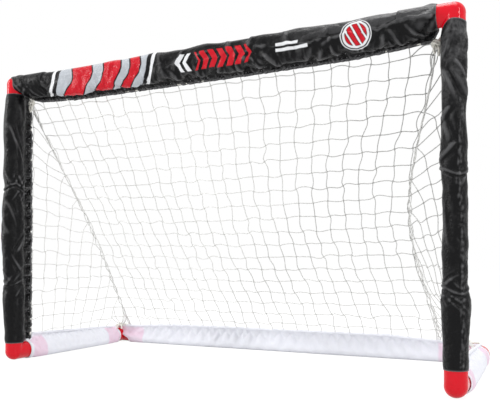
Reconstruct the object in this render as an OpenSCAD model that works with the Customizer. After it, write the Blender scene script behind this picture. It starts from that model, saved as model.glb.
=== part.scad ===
// Small knee-hockey goal: six moulded elbows and eight push-fit tubes make the frame, cloth
// sleeves with rolled hems cover the tubes, and a laced knotted net hangs from the hems.
// Millimetres. +Z up, the goal mouth faces -Y, origin at the bottom centre of the goal.

/* [Goal] */
// Width over the corner elbows
goal_w = 711; // [560:1:1000]
// Height over the top elbows
goal_h = 460; // [380:1:700]
// Depth over the corner elbows
goal_d = 318; // [260:1:520]

/* [Tubes] */
// Outside diameter of the frame tubes
tube_od = 22; // [20:0.5:26]
// Wall of the frame tubes
tube_wall = 1.6; // [1.2:0.1:2.4]
// Radial clearance of a tube in a socket, and of a joiner in a tube
push_fit = 0.1; // [0.05:0.05:0.2]
// Length of each half of a joiner inside its tube
joiner_reach = 28; // [20:1:40]
// Width of the collar that keeps the two tube ends apart
joiner_collar = 4; // [3:0.5:8]

/* [Elbows] */
// Wall of the elbow sockets
elbow_wall = 2.4; // [2:0.1:3]
// From an elbow's corner to the mouth of its leg
leg_reach = 62; // [54:1:80]
// From a front elbow's corner to the mouth of its long upright leg
foot_reach = 104; // [90:1:130]
// How much the mouth of the upright leg swells, on the radius
foot_flare = 2.3; // [0.5:0.1:3]
// How deep a tube goes into a socket
socket_depth = 30; // [22:1:36]
// Depth of the chamfer that leads a tube into a socket
mouth_chamfer = 0.8; // [0.4:0.1:1.2]

/* [Sleeves] */
// Thickness of the sleeve cloth
cloth = 0.9; // [0.6:0.1:1.2]
// Clearance between an elbow and the cloth over it
sleeve_ease = 0.3; // [0.2:0.1:0.6]
// How far the loose folds of the black sleeves stand out
front_fold = 1.5; // [0.4:0.1:2]
// Distance between folds along a sleeve
fold_pitch = 46; // [36:1:80]
// How far the white base sleeves are flattened where they lie on the floor
floor_flat = 0.4; // [0.2:0.1:0.5]
// From a tube's centre line to the rolled hem of a black sleeve
front_hem = 35; // [32:0.5:44]
// From a tube's centre line to the rolled hem of a white base sleeve
base_hem = 22; // [20:0.5:30]
// Outside diameter of a rolled hem
hem_d = 4.4; // [4:0.1:5.5]
// Thickness of the doubled cloth between a sleeve and its hem
flange_t = 1.6; // [1.2:0.1:2.2]
// Bare elbow between the post's centre line and the right end of the crossbar sleeve
bare_right = 20.5; // [18:0.5:26]
// How far the crossbar sleeve reaches past the left post's centre line
cover_left = 4; // [0:0.5:8]
// From a base corner to the ends of the white sleeves
bare_base = 24; // [20:0.5:30]

/* [Cords] */
// Diameter of the cord that runs inside each hem and shows at the corners
hem_cord_d = 2; // [1.6:0.1:2.4]
// Diameter of the cord that laces a side net to the back net
lace_d = 3.2; // [2.4:0.1:4]

/* [Net] */
// Thickness of a net strand
strand = 1.6; // [1.2:0.1:2]
// Gaps across the back net
back_columns = 19; // [12:1:20]
// Gaps down the back net
back_rows = 14; // [8:1:15]
// Gaps along the foot and up the post of each side net
side_gaps = 10; // [6:1:11]
// Slack of the back net at its middle
net_sag = 10; // [0:1:20]
// Where along its top tie the left lacing is hung, as a share of the way to the crossbar's hem
left_hook = 0.77; // [0.7:0.01:0.95]
// Where along its top tie the right lacing is hung
right_hook = 0.94; // [0.7:0.01:0.95]
// How far the left lacing ends inwards of its post
left_foot_inset = 28; // [26:1:60]
// How far the right lacing ends inwards of its post
right_foot_inset = 60; // [26:1:80]
// How much further the left lacing is drawn in at mid height
left_waist = 10; // [0:1:50]
// How much further the right lacing is drawn in at mid height
right_waist = 38; // [0:1:50]

/* [Hidden] */
$fn = 48;

LEFT = -1;
RIGHT = 1;
seat_gap = 0.3;     // between soft pieces that lie against each other
over = 1;           // how far a cutter runs past the face it opens
passage_step = 0.4; // the hollow at an elbow's corner is this much smaller than its passages
ball_proud = 0.15;  // an elbow's ball stands this far out of its legs
swell_share = 0.4;  // share of the upright leg that stays straight before it swells
foot_lip = 8;       // straight lip at the mouth of the upright leg
joiner_wall = 2.2;  // wall of a joiner
cord_ease = 0.2;    // radial clearance of a cord in its hem
hem_drop = 2;       // a post's hem stops this far below the top of its sleeve
hem_setback = 3;    // the back hem stops this far inside the ends of its sleeve
bar_hem_gap = 30;   // from a post's centre line to the end of the crossbar's hem
plain_foot = 20;    // the post sleeve stays straight this far before it follows the swell
step_down = 4;      // the post sleeve steps down to the tube over this length past the mouth
fold_margin = 10;   // from a socket's mouth to the first loose fold
net_margin = 4;     // a side net starts this far below the top of the back net
foot_margin = 2;    // a side net ends this far above the side hem's seat
net_roll = 50;      // degrees that a side net's edge rolls round the post's hem on its way up

// Radii that everything round shares
tube_r = tube_od / 2;
socket_r = tube_r + push_fit;
elbow_r = socket_r + elbow_wall;
sleeve_in = elbow_r + sleeve_ease;
sleeve_out = sleeve_in + cloth;
foot_r = elbow_r + foot_flare;
foot_sleeve_r = foot_r + sleeve_ease + cloth;
joiner_r = tube_r - tube_wall - push_fit;
hem_r = hem_d / 2;
hem_bore_r = hem_cord_d / 2 + cord_ease;
passage_r = tube_r - tube_wall;
knot = strand / 2;

// Centre lines of the frame. The feet swell more than the back bar, so the frame moves back by
// half the difference to stay centred on the origin.
post_x = goal_w / 2 - elbow_r;
half_depth = goal_d / 2 - elbow_r;
centring = (foot_sleeve_r - sleeve_out) / 2;
front_y = -half_depth + centring;
back_y = half_depth + centring;
base_z = sleeve_out - floor_flat;
crossbar_z = goal_h - elbow_r;

// Where tubes stop inside their sockets
leg_stop = leg_reach - socket_depth;
foot_stop = foot_reach - socket_depth;

// The back net hangs from the crossbar to the back bar along this slope
slope_len = sqrt(pow(back_y - front_y, 2) + pow(crossbar_z - base_z, 2));
slope_y = (back_y - front_y) / slope_len;
slope_z = (base_z - crossbar_z) / slope_len;
slope_tilt = atan2(back_y - front_y, crossbar_z - base_z);

// Ends of the sleeves and of their hems
post_sleeve_foot = base_z + elbow_r + seat_gap;
post_hem_foot = base_z + sleeve_out + seat_gap;
post_sleeve_top = crossbar_z - elbow_r - seat_gap;
post_hem_top = post_sleeve_top - hem_drop;
crossbar_hem_inset = post_x - bar_hem_gap;
side_hem_front = front_y + front_hem + hem_r + over;
side_sleeve_front = front_y + bare_base;
side_sleeve_back = back_y - bare_base;
back_sleeve_end = post_x - bare_base;
back_hem_end = back_sleeve_end - hem_setback;

// From a hem's or a lacing's centre line to the centre of the net strand along it
knot_corner = knot * sqrt(2);
hem_seat = hem_r + seat_gap + knot_corner;
lace_seat = lace_d / 2 + seat_gap + knot_corner;
net_top = front_hem + hem_seat;
net_foot = slope_len - base_hem - hem_seat;
lacing_foot = slope_len - base_hem - hem_r - seat_gap;
side_net_top = net_top + net_margin;
side_net_foot = slope_len - (base_hem + hem_seat + foot_margin) / -slope_z;

// ---- helpers ---------------------------------------------------------------------------

function unit(v) = v / norm(v);
function mix(a, b, t) = a + (b - a) * t;
function bezier(p, t) =
    pow(1 - t, 3) * p[0] + 3 * t * pow(1 - t, 2) * p[1] + 3 * t * t * (1 - t) * p[2] + t * t * t * p[3];

// Closed round cord of diameter d along a list of points; ref is never parallel to the route
module cord(route, d, ref, sides = 8) {
    n = len(route);
    tangent = [for (i = [0:n - 1]) unit(route[min(i + 1, n - 1)] - route[max(i - 1, 0)])];
    rings = [for (i = [0:n - 1])
        let (u = unit(cross(tangent[i], ref)), w = cross(tangent[i], u))
        for (k = [0:sides - 1])
            route[i] + d / 2 * (cos(360 * k / sides) * u + sin(360 * k / sides) * w)];
    walls = [for (i = [0:n - 2], k = [0:sides - 1])
        let (a = i * sides + k, b = i * sides + (k + 1) % sides)
        each [[a, b, b + sides], [a, b + sides, a + sides]]];
    start_cap = [for (k = [1:sides - 2]) [0, k + 1, k]];
    last = (n - 1) * sides;
    end_cap = [for (k = [1:sides - 2]) [last, last + k, last + k + 1]];
    polyhedron(points = rings, faces = concat(walls, start_cap, end_cap), convexity = 10);
}

// Turns +Z to point along +X (rightwards bars) or +Y (side bars)
module along_x() { rotate([0, 90, 0]) children(); }
module along_y() { rotate([-90, 0, 0]) children(); }

// ---- elbows ----------------------------------------------------------------------------

// The solid of one leg along +Z: a plain socket, or a foot that swells towards its mouth
module leg_body(reach, flare) {
    edge = 1;
    if (flare > 0)
        rotate_extrude()
            polygon([[0, 0], [elbow_r, 0], [elbow_r, reach * swell_share],
                [elbow_r + flare, reach - foot_lip], [elbow_r + flare, reach - edge],
                [elbow_r + flare - edge, reach], [0, reach]]);
    else
        cylinder(r = elbow_r, h = reach);
}

// What is removed from one leg: the socket, its lead-in and the narrower passage to the corner
module leg_bore(reach) {
    lead_in = mouth_chamfer + over / 5;
    translate([0, 0, reach - socket_depth]) cylinder(r = socket_r, h = socket_depth + over);
    cylinder(r = passage_r, h = reach);
    translate([0, 0, reach - mouth_chamfer])
        cylinder(r1 = socket_r, r2 = socket_r + lead_in, h = lead_in);
}

// An elbow with one leg along +Z and one along +X, rounded like a ball on its outer corner
module elbow(up_reach, side_reach, up_flare = 0) {
    color([0.83, 0.07, 0.12])
    difference() {
        union() {
            sphere(r = elbow_r + ball_proud, $fn = 64);
            leg_body(up_reach, up_flare);
            along_x() leg_body(side_reach, 0);
        }
        leg_bore(up_reach);
        along_x() leg_bore(side_reach);
        sphere(r = passage_r - passage_step, $fn = 64);
    }
}

module top_elbow(side) {
    translate([side * post_x, front_y, crossbar_z])
        rotate([0, 0, side == RIGHT ? 180 : 0])
            mirror([0, 0, 1]) elbow(leg_reach, leg_reach);
}

module front_elbow(side) {
    translate([side * post_x, front_y, base_z])
        rotate([0, 0, 90]) elbow(foot_reach, leg_reach, foot_flare);
}

// Lies flat: one leg runs forwards, the other inwards
module back_elbow(side) {
    translate([side * post_x, back_y, base_z])
        mirror([side == RIGHT ? 1 : 0, 0, 0])
            rotate([90, 0, 0]) elbow(leg_reach, leg_reach);
}

// ---- tubes and joiners -----------------------------------------------------------------

module tube(length) {
    color([0.93, 0.93, 0.92])
    difference() {
        cylinder(r = tube_r, h = length);
        translate([0, 0, -over]) cylinder(r = passage_r, h = length + 2 * over);
    }
}

// From an elbow's stop to the collar of the joiner at the middle of a long bar
half_bar = post_x - leg_stop - joiner_collar / 2 - seat_gap;

module long_bar_tube(side, y, z) {
    start = side == LEFT ? -post_x + leg_stop + seat_gap / 2 : joiner_collar / 2 + seat_gap / 2;
    translate([start, y, z]) along_x() tube(half_bar);
}

module post_tube(side) {
    bottom = base_z + foot_stop + seat_gap;
    top = crossbar_z - leg_stop - seat_gap;
    translate([side * post_x, front_y, bottom]) tube(top - bottom);
}

module side_tube(side) {
    start = front_y + leg_stop + seat_gap;
    end = back_y - leg_stop - seat_gap;
    translate([side * post_x, start, base_z]) along_y() tube(end - start);
}

// Plug that joins two tube ends: hollow, with a collar, grip ribs and rounded noses
module joiner() {
    ribs = 3;
    nose = 2;
    rib_h = push_fit * 0.8;
    rib_half = 1;
    rib_pitch = joiner_reach / (ribs + 1);
    ribbed_side = [for (k = [1:ribs]) each [
        [joiner_r, k * rib_pitch - rib_half], [joiner_r + rib_h, k * rib_pitch],
        [joiner_r, k * rib_pitch + rib_half]]];
    half = concat([[joiner_r, joiner_collar / 2]],
        [for (p = ribbed_side) [p[0], p[1] + joiner_collar / 2]],
        [[joiner_r, joiner_collar / 2 + joiner_reach - nose],
         [joiner_r - nose / 2, joiner_collar / 2 + joiner_reach]]);
    other_half = [for (i = [len(half) - 1:-1:0]) [half[i][0], -half[i][1]]];
    bore = joiner_r - joiner_wall;
    color([0.88, 0.88, 0.86])
    along_x()
    rotate_extrude()
        polygon(concat([[bore, -joiner_collar / 2 - joiner_reach]], other_half,
            [[tube_r, -joiner_collar / 2], [tube_r, joiner_collar / 2]], half,
            [[bore, joiner_collar / 2 + joiner_reach]]));
}

// ---- sleeves ---------------------------------------------------------------------------

// How far loose cloth stands out at a distance s along a sleeve; snug over the sockets
function puff(s, snug_end, loose_end) =
    s <= snug_end || s >= loose_end ? 0
    : front_fold * pow(sin(180 * (s - snug_end) / (loose_end - snug_end)), 0.4)
        * (0.62 + 0.38 * sin(360 * (s - snug_end) / fold_pitch));

// Radius of the cloth's outer side over a foot: straight at first, then it follows the flare
function over_foot(s, mouth) =
    mix(sleeve_out, foot_sleeve_r, max(0, s - plain_foot) / (mouth - plain_foot));

// Evenly spaced stations along a sleeve, with its ends
function stations(length, step = 15) =
    let (n = ceil(length / step)) [for (i = [0:n]) length * i / n];

// A cloth tube along +Z with its seam flange and rolled hem towards +X.
// outer is a list of [s, radius]; the hem runs from hem_from to hem_to.
module sleeve(outer, hem_reach, hem_from, hem_to, wall_follows = true) {
    length = outer[len(outer) - 1][0];
    inner = [for (p = outer) [p[0], wall_follows ? p[1] - cloth : sleeve_in]];
    difference() {
        union() {
            rotate_extrude()
                polygon(concat([[0, 0]], [for (p = outer) [p[1], p[0]]], [[0, length]]));
            translate([0, -flange_t / 2, hem_from])
                cube([hem_reach, flange_t, hem_to - hem_from]);
            translate([hem_reach, 0, hem_from]) cylinder(r = hem_r, h = hem_to - hem_from, $fn = 24);
        }
        rotate_extrude()
            polygon(concat([[0, -over], [inner[0][1], -over]],
                [for (p = inner) [p[1], p[0]]],
                [[inner[len(inner) - 1][1], length + over], [0, length + over]]));
        translate([hem_reach, 0, hem_from - over])
            cylinder(r = hem_bore_r, h = hem_to - hem_from + 2 * over, $fn = 24);
    }
}

module post_sleeve(side) {
    length = post_sleeve_top - post_sleeve_foot;
    mouth = base_z + foot_reach - post_sleeve_foot;
    loose_end = length - (leg_reach - elbow_r) - fold_margin;
    past_mouth = mouth + over + step_down;
    marks = concat([0, plain_foot, mouth + over, past_mouth],
        [for (s = stations(length - past_mouth - fold_margin)) past_mouth + fold_margin + s]);
    profile = [for (s = marks)
        [s, s <= mouth + over ? over_foot(min(s, mouth), mouth)
            : sleeve_out + puff(s, past_mouth, loose_end)]];
    color([0.06, 0.06, 0.07])
    translate([side * post_x, front_y, post_sleeve_foot])
        rotate([0, 0, 90])
            sleeve(profile, front_hem, post_hem_foot - post_sleeve_foot,
                post_hem_top - post_sleeve_foot);
}

module crossbar_sleeve() {
    start = -post_x - cover_left;
    end = post_x - bare_right;
    length = end - start;
    loose_start = leg_reach + cover_left + fold_margin;
    loose_end = length - (leg_reach - bare_right) - fold_margin;
    profile = [for (s = stations(length, 19)) [s, sleeve_out + puff(s, loose_start, loose_end)]];
    cut = 4 * sleeve_out;
    mitre_gap = sleeve_out - elbow_r;
    color([0.06, 0.06, 0.07])
    difference() {
        translate([start, front_y, crossbar_z])
            along_x() rotate([0, 0, slope_tilt])
                sleeve(profile, front_hem, -crossbar_hem_inset - start, crossbar_hem_inset - start);
        // The left end is mitred below, clear of the post's leg and of the post sleeve's top
        translate([-post_x + mitre_gap, front_y, crossbar_z])
            rotate([0, -45, 0])
                translate([-cut, -cut / 2, -cut]) cube([cut, cut, 2 * cut]);
    }
}

// White sleeve along +Z of the given length, for the base
module base_sleeve(length, hem_from, hem_to) {
    profile = [[0, sleeve_out], [length, sleeve_out]];
    sleeve(profile, base_hem, hem_from, hem_to, wall_follows = false);
}

module above_floor(size) {
    difference() {
        children();
        translate([-size, -size, -sleeve_out]) cube([2 * size, 2 * size, sleeve_out]);
    }
}

module side_sleeve(side) {
    color([0.86, 0.87, 0.93])
    above_floor(goal_w)
        translate([side * post_x, side_sleeve_front, base_z])
            along_y() rotate([0, 0, -90])
                base_sleeve(side_sleeve_back - side_sleeve_front,
                    side_hem_front - side_sleeve_front,
                    side_sleeve_back - side_sleeve_front);
}

module back_sleeve() {
    color([0.86, 0.87, 0.93])
    above_floor(goal_w)
        translate([-back_sleeve_end, back_y, base_z])
            along_x() rotate([0, 0, 180 + slope_tilt])
                base_sleeve(2 * back_sleeve_end,
                    back_sleeve_end - back_hem_end, back_sleeve_end + back_hem_end);
}

// ---- hem cords and corner ties ---------------------------------------------------------

cord_color = [0.9, 0.89, 0.83];
crossbar_hem = [0, front_y + slope_y * front_hem, crossbar_z + slope_z * front_hem];
back_hem = [0, back_y - slope_y * base_hem, base_z - slope_z * base_hem];
post_hem_y = front_y + front_hem;
side_hem_z = base_z + base_hem;

module round_cord(length) { cylinder(d = hem_cord_d, h = length, $fn = 24); }

module bar_hem_cord(at, half) {
    color(cord_color) translate(at - [half + over, 0, 0]) along_x() round_cord(2 * (half + over));
}

module post_hem_cord(side) {
    color(cord_color)
    translate([side * post_x, post_hem_y, post_hem_foot])
        round_cord(post_hem_top + over - post_hem_foot);
}

module side_hem_cord(side) {
    color(cord_color)
    translate([side * post_x, side_hem_front - over, side_hem_z])
        along_y() round_cord(side_sleeve_back - side_hem_front + 2 * over);
}

// Loop of hem cord that leaves a post's hem upwards and enters the crossbar's hem sideways
tie_gap = over + seat_gap;
tie_rise = 16;     // how far the top tie's bend pulls up out of the post's hem
tie_spread = 24;   // and sideways out of the crossbar's hem
tie_behind = 14;   // how far the back tie's bend pulls back out of the side hem
tie_outwards = 18; // and sideways out of the back hem
function top_tie_curve(side) =
    let (from = [side * post_x, post_hem_y, post_hem_top + tie_gap],
        to = [side * (crossbar_hem_inset + tie_gap), crossbar_hem[1], crossbar_hem[2]])
    [from, from + [0, 0, tie_rise], to + [side * tie_spread, 0, 0], to];

// Loop that leaves a side hem backwards and enters the back hem sideways
function back_tie_curve(side) =
    let (from = [side * post_x, side_sleeve_back + tie_gap, side_hem_z],
        to = [side * (back_hem_end + tie_gap), back_hem[1], back_hem[2]])
    [from, from + [0, tie_behind, 0], to + [side * tie_outwards, 0, 0], to];

module tie(curve, ref) {
    steps = 14;
    color(cord_color)
        cord([for (i = [0:steps]) bezier(curve, i / steps)], hem_cord_d, ref);
}

// ---- net -------------------------------------------------------------------------------

// Point of the slope at distance s from the crossbar's centre line
function on_slope(x, s) = [x, front_y + slope_y * s, crossbar_z + slope_z * s];
function waist(side) = side == LEFT ? left_waist : right_waist;
function hook(side) = bezier(top_tie_curve(side), side == LEFT ? left_hook : right_hook);
function top_inset(side) = post_x - side * hook(side)[0];
function foot_inset(side) = side == LEFT ? left_foot_inset : right_foot_inset;

// How far inwards of its post a lacing lies at distance s down the slope
function inset(side, s) =
    let (v = max(0, min(1, (s - net_top) / (net_foot - net_top))))
    mix(top_inset(side), foot_inset(side), v) + waist(side) * pow(sin(180 * v), 1.5);
function lace_x(side, s) = side * (post_x - inset(side, s));
function lace_point(side, s) = on_slope(lace_x(side, s), s);

// The lacing hangs from the top tie and ends on the hem of the back sleeve
module lacing(side) {
    steps = 20;
    run = [for (i = [0:steps]) lace_point(side, mix(side_net_top, lacing_foot, i / steps))];
    top = hook(side) + unit(run[0] - hook(side)) * (hem_cord_d / 2 + lace_d / 2);
    color([0.84, 0.84, 0.8])
    cord(concat([top], run), lace_d, [1, 0, 0]);
}

// A net from a grid of knots. knots is a list of rows, which may differ in length; the rows
// run along e1, the columns along e2. Each knot is a small block, and struts join neighbours.
module net(knots, e1, e2, normal) {
    rows = len(knots);
    first = [for (j = 0, n = 0; j < rows; n = n + len(knots[j]), j = j + 1) n];
    function at(j, i) = 8 * (first[j] + i);
    function has(j, i) = j >= 0 && j < rows && i >= 0 && i < len(knots[max(0, min(rows - 1, j))]);
    // Corner bits: 1 along e1, 2 along e2, 4 along the normal
    corners = [for (c = [0:7])
        knot * ((c % 2 == 0 ? -1 : 1) * e1
            + (floor(c / 2) % 2 == 0 ? -1 : 1) * e2
            + (c < 4 ? -1 : 1) * normal)];
    points = [for (row = knots, p = row, c = corners) p + c];
    function quad(a, b, c, d) = [[a, b, c], [a, c, d]];
    faces = [for (j = [0:rows - 1], i = [0:len(knots[j]) - 1])
        let (k = at(j, i), right = at(j, i + 1), up = j + 1 < rows ? at(j + 1, i) : 0)
        each concat(
            quad(k + 4, k + 5, k + 7, k + 6),
            quad(k, k + 2, k + 3, k + 1),
            has(j, i + 1)
                ? concat(quad(k + 1, k + 3, right + 2, right), quad(k + 5, right + 4, right + 6, k + 7),
                    quad(k + 1, right, right + 4, k + 5), quad(k + 3, k + 7, right + 6, right + 2))
                : quad(k + 1, k + 3, k + 7, k + 5),
            has(j + 1, i)
                ? concat(quad(k + 2, up, up + 1, k + 3), quad(k + 6, k + 7, up + 5, up + 4),
                    quad(k + 2, k + 6, up + 4, up), quad(k + 3, up + 1, up + 5, k + 7))
                : quad(k + 2, k + 6, k + 7, k + 3),
            has(j, i - 1) ? [] : quad(k, k + 4, k + 6, k + 2),
            has(j - 1, i) ? [] : quad(k, k + 1, k + 5, k + 4))];
    polyhedron(points = points, faces = faces, convexity = 20);
}

net_color = [0.9, 0.9, 0.87];

module back_net() {
    inwards = [0, slope_z, -slope_y];
    knots = [for (j = [0:back_rows])
        let (s = mix(net_top, net_foot, j / back_rows),
            x_left = lace_x(LEFT, s) + lace_seat, x_right = lace_x(RIGHT, s) - lace_seat)
        [for (i = [0:back_columns])
            let (u = i / back_columns)
            on_slope(mix(x_left, x_right, u), s)
                + inwards * net_sag * sin(180 * j / back_rows) * 4 * u * (1 - u)]];
    color(net_color) net(knots, [1, 0, 0], [0, slope_y, slope_z], -inwards);
}

// Rows run from the post to the lacing and lose a gap each, so the last knot of every row
// lies on the lacing. Near the foot the rows keep to the side hem before they turn inwards.
module side_net(side) {
    knots = [for (j = [0:side_gaps])
        let (h = j / side_gaps,
            lace = lace_point(side, mix(side_net_foot, side_net_top, h)),
            around = net_roll * h * h,
            post = [side * (post_x - hem_seat * sin(around)), post_hem_y + hem_seat * cos(around),
                max(side_hem_z + hem_seat, lace[2])],
            at_lace = lace + lace_seat / -slope_z * unit(post - lace),
            bend = 1.2 + 5 * pow(1 - h, 3),
            cells = side_gaps - j)
        [for (i = [0:cells])
            let (f = cells == 0 ? 1 : i / cells)
            [mix(post[0], at_lace[0], pow(f, bend)), mix(post[1], at_lace[1], f),
                mix(post[2], at_lace[2], f)]]];
    color(net_color) net(knots, [0, 1, 0], [0, 0, 1], [1, 0, 0]);
}

// ---- the goal --------------------------------------------------------------------------

top_elbow(LEFT);  // top_left_elbow
top_elbow(RIGHT);  // top_right_elbow
front_elbow(LEFT);  // front_left_elbow
front_elbow(RIGHT);  // front_right_elbow
back_elbow(LEFT);  // back_left_elbow
back_elbow(RIGHT);  // back_right_elbow

long_bar_tube(LEFT, front_y, crossbar_z);  // crossbar_tube_left
long_bar_tube(RIGHT, front_y, crossbar_z);  // crossbar_tube_right
translate([0, front_y, crossbar_z]) joiner();  // crossbar_joiner
post_tube(LEFT);  // left_post_tube
post_tube(RIGHT);  // right_post_tube
side_tube(LEFT);  // left_side_tube
side_tube(RIGHT);  // right_side_tube
long_bar_tube(LEFT, back_y, base_z);  // back_tube_left
long_bar_tube(RIGHT, back_y, base_z);  // back_tube_right
translate([0, back_y, base_z]) joiner();  // back_joiner

crossbar_sleeve();
post_sleeve(LEFT);  // left_post_sleeve
post_sleeve(RIGHT);  // right_post_sleeve
side_sleeve(LEFT);  // left_side_sleeve
side_sleeve(RIGHT);  // right_side_sleeve
back_sleeve();

bar_hem_cord(crossbar_hem, crossbar_hem_inset);  // crossbar_hem_cord
post_hem_cord(LEFT);  // left_post_hem_cord
post_hem_cord(RIGHT);  // right_post_hem_cord
side_hem_cord(LEFT);  // left_side_hem_cord
side_hem_cord(RIGHT);  // right_side_hem_cord
bar_hem_cord(back_hem, back_hem_end);  // back_hem_cord

tie(top_tie_curve(LEFT), [0, 1, 0]);  // top_left_tie
tie(top_tie_curve(RIGHT), [0, 1, 0]);  // top_right_tie
tie(back_tie_curve(LEFT), [0, 0, 1]);  // back_left_tie
tie(back_tie_curve(RIGHT), [0, 0, 1]);  // back_right_tie

back_net();
side_net(LEFT);  // left_side_net
side_net(RIGHT);  // right_side_net
lacing(LEFT);  // left_lacing
lacing(RIGHT);  // right_lacing
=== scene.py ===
# %% [markdown]
# # A small hockey goal, dressed
#
# The goal is a push-fit frame of plastic tubes and red moulded elbows. Cloth sleeves cover the
# tubes, a cord runs in the rolled hem of each sleeve, and a knotted net hangs from the hems.
# The frame comes from the CAD model. This notebook makes everything that is soft, and gives
# every piece its finish.

import math
import time

import bpy
import numpy as np
from mathutils import Matrix, Vector


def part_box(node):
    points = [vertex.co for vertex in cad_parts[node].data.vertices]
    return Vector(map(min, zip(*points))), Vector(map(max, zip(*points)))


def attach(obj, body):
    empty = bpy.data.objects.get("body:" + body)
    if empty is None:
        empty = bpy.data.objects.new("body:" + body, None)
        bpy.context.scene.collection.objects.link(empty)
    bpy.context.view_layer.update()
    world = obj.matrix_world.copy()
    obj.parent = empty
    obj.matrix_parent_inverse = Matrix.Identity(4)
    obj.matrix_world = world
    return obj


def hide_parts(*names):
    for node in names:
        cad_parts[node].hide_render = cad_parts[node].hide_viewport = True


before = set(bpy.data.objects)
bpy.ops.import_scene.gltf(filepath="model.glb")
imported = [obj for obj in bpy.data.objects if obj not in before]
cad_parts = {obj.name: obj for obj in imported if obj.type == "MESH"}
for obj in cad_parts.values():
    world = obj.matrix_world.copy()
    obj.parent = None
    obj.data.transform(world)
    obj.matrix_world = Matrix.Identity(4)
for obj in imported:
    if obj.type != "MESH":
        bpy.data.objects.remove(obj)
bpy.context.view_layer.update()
MM = 0.001

# %% [markdown]
# ## The camera
#
# The camera stands low, a hand's length above the floor, to the right of the goal, and looks at
# it almost level. It could be set by eye in the viewport. It is written here as a place, a heading
# and a focal length in pixels of a 500-pixel-wide picture, so that it can be checked with a ruler.
# The picture's middle isn't where the lens points, so the lens is shifted a little, as on a view
# camera.

# %% Camera
PICTURE = (500, 400)
FOCAL_PX = 637.2
LENS_CENTRE_PX = (240.8, 252.9)
CAMERA_AT = Vector((0.4402, -0.9159, 0.1548))
HEADING = -0.4512            # radians, towards the left
RISE = 0.01798               # radians, upwards
SENSOR_WIDTH = 36
NEAREST, FARTHEST = 0.02, 50

look = Vector((math.sin(HEADING) * math.cos(RISE), math.cos(HEADING) * math.cos(RISE), math.sin(RISE)))
picture_right = Vector((math.cos(HEADING), -math.sin(HEADING), 0))
picture_up = picture_right.cross(look)

lens = bpy.data.cameras.new("camera")
lens.sensor_width = SENSOR_WIDTH
lens.lens = FOCAL_PX / PICTURE[0] * SENSOR_WIDTH
lens.shift_x = (PICTURE[0] / 2 - LENS_CENTRE_PX[0]) / PICTURE[0]
lens.shift_y = (LENS_CENTRE_PX[1] - PICTURE[1] / 2) / PICTURE[0]
lens.clip_start = NEAREST
lens.clip_end = FARTHEST
camera = bpy.data.objects.new("camera", lens)
camera.matrix_world = Matrix.Translation(CAMERA_AT) @ Matrix(
    (picture_right, picture_up, -look)).transposed().to_4x4()
bpy.context.scene.collection.objects.link(camera)
bpy.context.scene.camera = camera
print("lens:", round(lens.lens, 1), "mm, shift", round(lens.shift_x, 4), round(lens.shift_y, 4))

# %% [markdown]
# ## Places that the soft pieces need
#
# Nothing is fitted by eye: each place is read from the CAD pieces' own boxes. A tube's middle
# gives the centre line of its sleeve, and a hem cord's middle gives the line of the hem.

# %% Centre lines
LEFT, RIGHT = -1, 1
SIDES = ((LEFT, "left"), (RIGHT, "right"))
RIGHTWARDS, BACKWARDS, UPWARDS = np.eye(3)


def low_high(node):
    """The two corners of a CAD piece's box."""
    low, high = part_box(node)
    return np.array(low), np.array(high)


def middle(node):
    """The middle of a CAD piece's box."""
    low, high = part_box(node)
    return np.array((low + high) / 2)


post_x, front_y, _ = middle("right_post_tube")
crossbar_z = middle("crossbar_tube_left")[2]
back_y, base_z = middle("back_tube_left")[1:]
run = np.array((0, back_y - front_y, base_z - crossbar_z))
slope_len = np.linalg.norm(run)
slope = run / slope_len                          # down the net, from crossbar to back bar
inwards = np.array((0, slope[2], -slope[1]))     # square to the net, towards the floor
print("post_x %.1f  front_y %.1f  back_y %.1f  crossbar_z %.1f  base_z %.1f  slope %.1f mm" % tuple(
    v / MM for v in (post_x, front_y, back_y, crossbar_z, base_z, slope_len)))

# %% Tube, elbow and hem sizes
BALL_PROUD = 0.15 * MM       # an elbow's round corner stands this far out of its legs


def width(node):
    """How wide a CAD piece is, from left to right."""
    low, high = low_high(node)
    return high[0] - low[0]


tube_r = width("right_post_tube") / 2
foot_r = width("front_right_elbow") / 2
elbow_r = low_high("top_right_elbow")[1][0] - post_x - BALL_PROUD
leg_reach = crossbar_z - low_high("top_right_elbow")[0][2]
foot_reach = low_high("front_right_elbow")[1][2] - base_z
front_hem = middle("left_post_hem_cord")[1] - front_y
base_hem = middle("left_side_hem_cord")[2] - base_z
post_hem_y = front_y + front_hem
print("tube_r %.2f elbow_r %.2f foot_r %.2f leg %.1f foot %.1f hems %.1f %.1f" % tuple(
    v / MM for v in (tube_r, elbow_r, foot_r, leg_reach, foot_reach, front_hem, base_hem)))

# %% [markdown]
# ## A short way to write materials
#
# A material is a small sum over sockets. It could be drawn in the node editor, node by node. The
# class below wraps one socket instead, so that a mask can be written as 1 - wear * 0.3, and each
# operator adds its Math node. Every other node comes from one method, node(), which sets the
# node's options first and then its sockets.

# %% Sockets with arithmetic
MIX_SHARE, MIX_FIRST, MIX_SECOND, MIX_COLOUR = 0, 6, 7, 2     # the Mix node's places for colours


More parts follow.
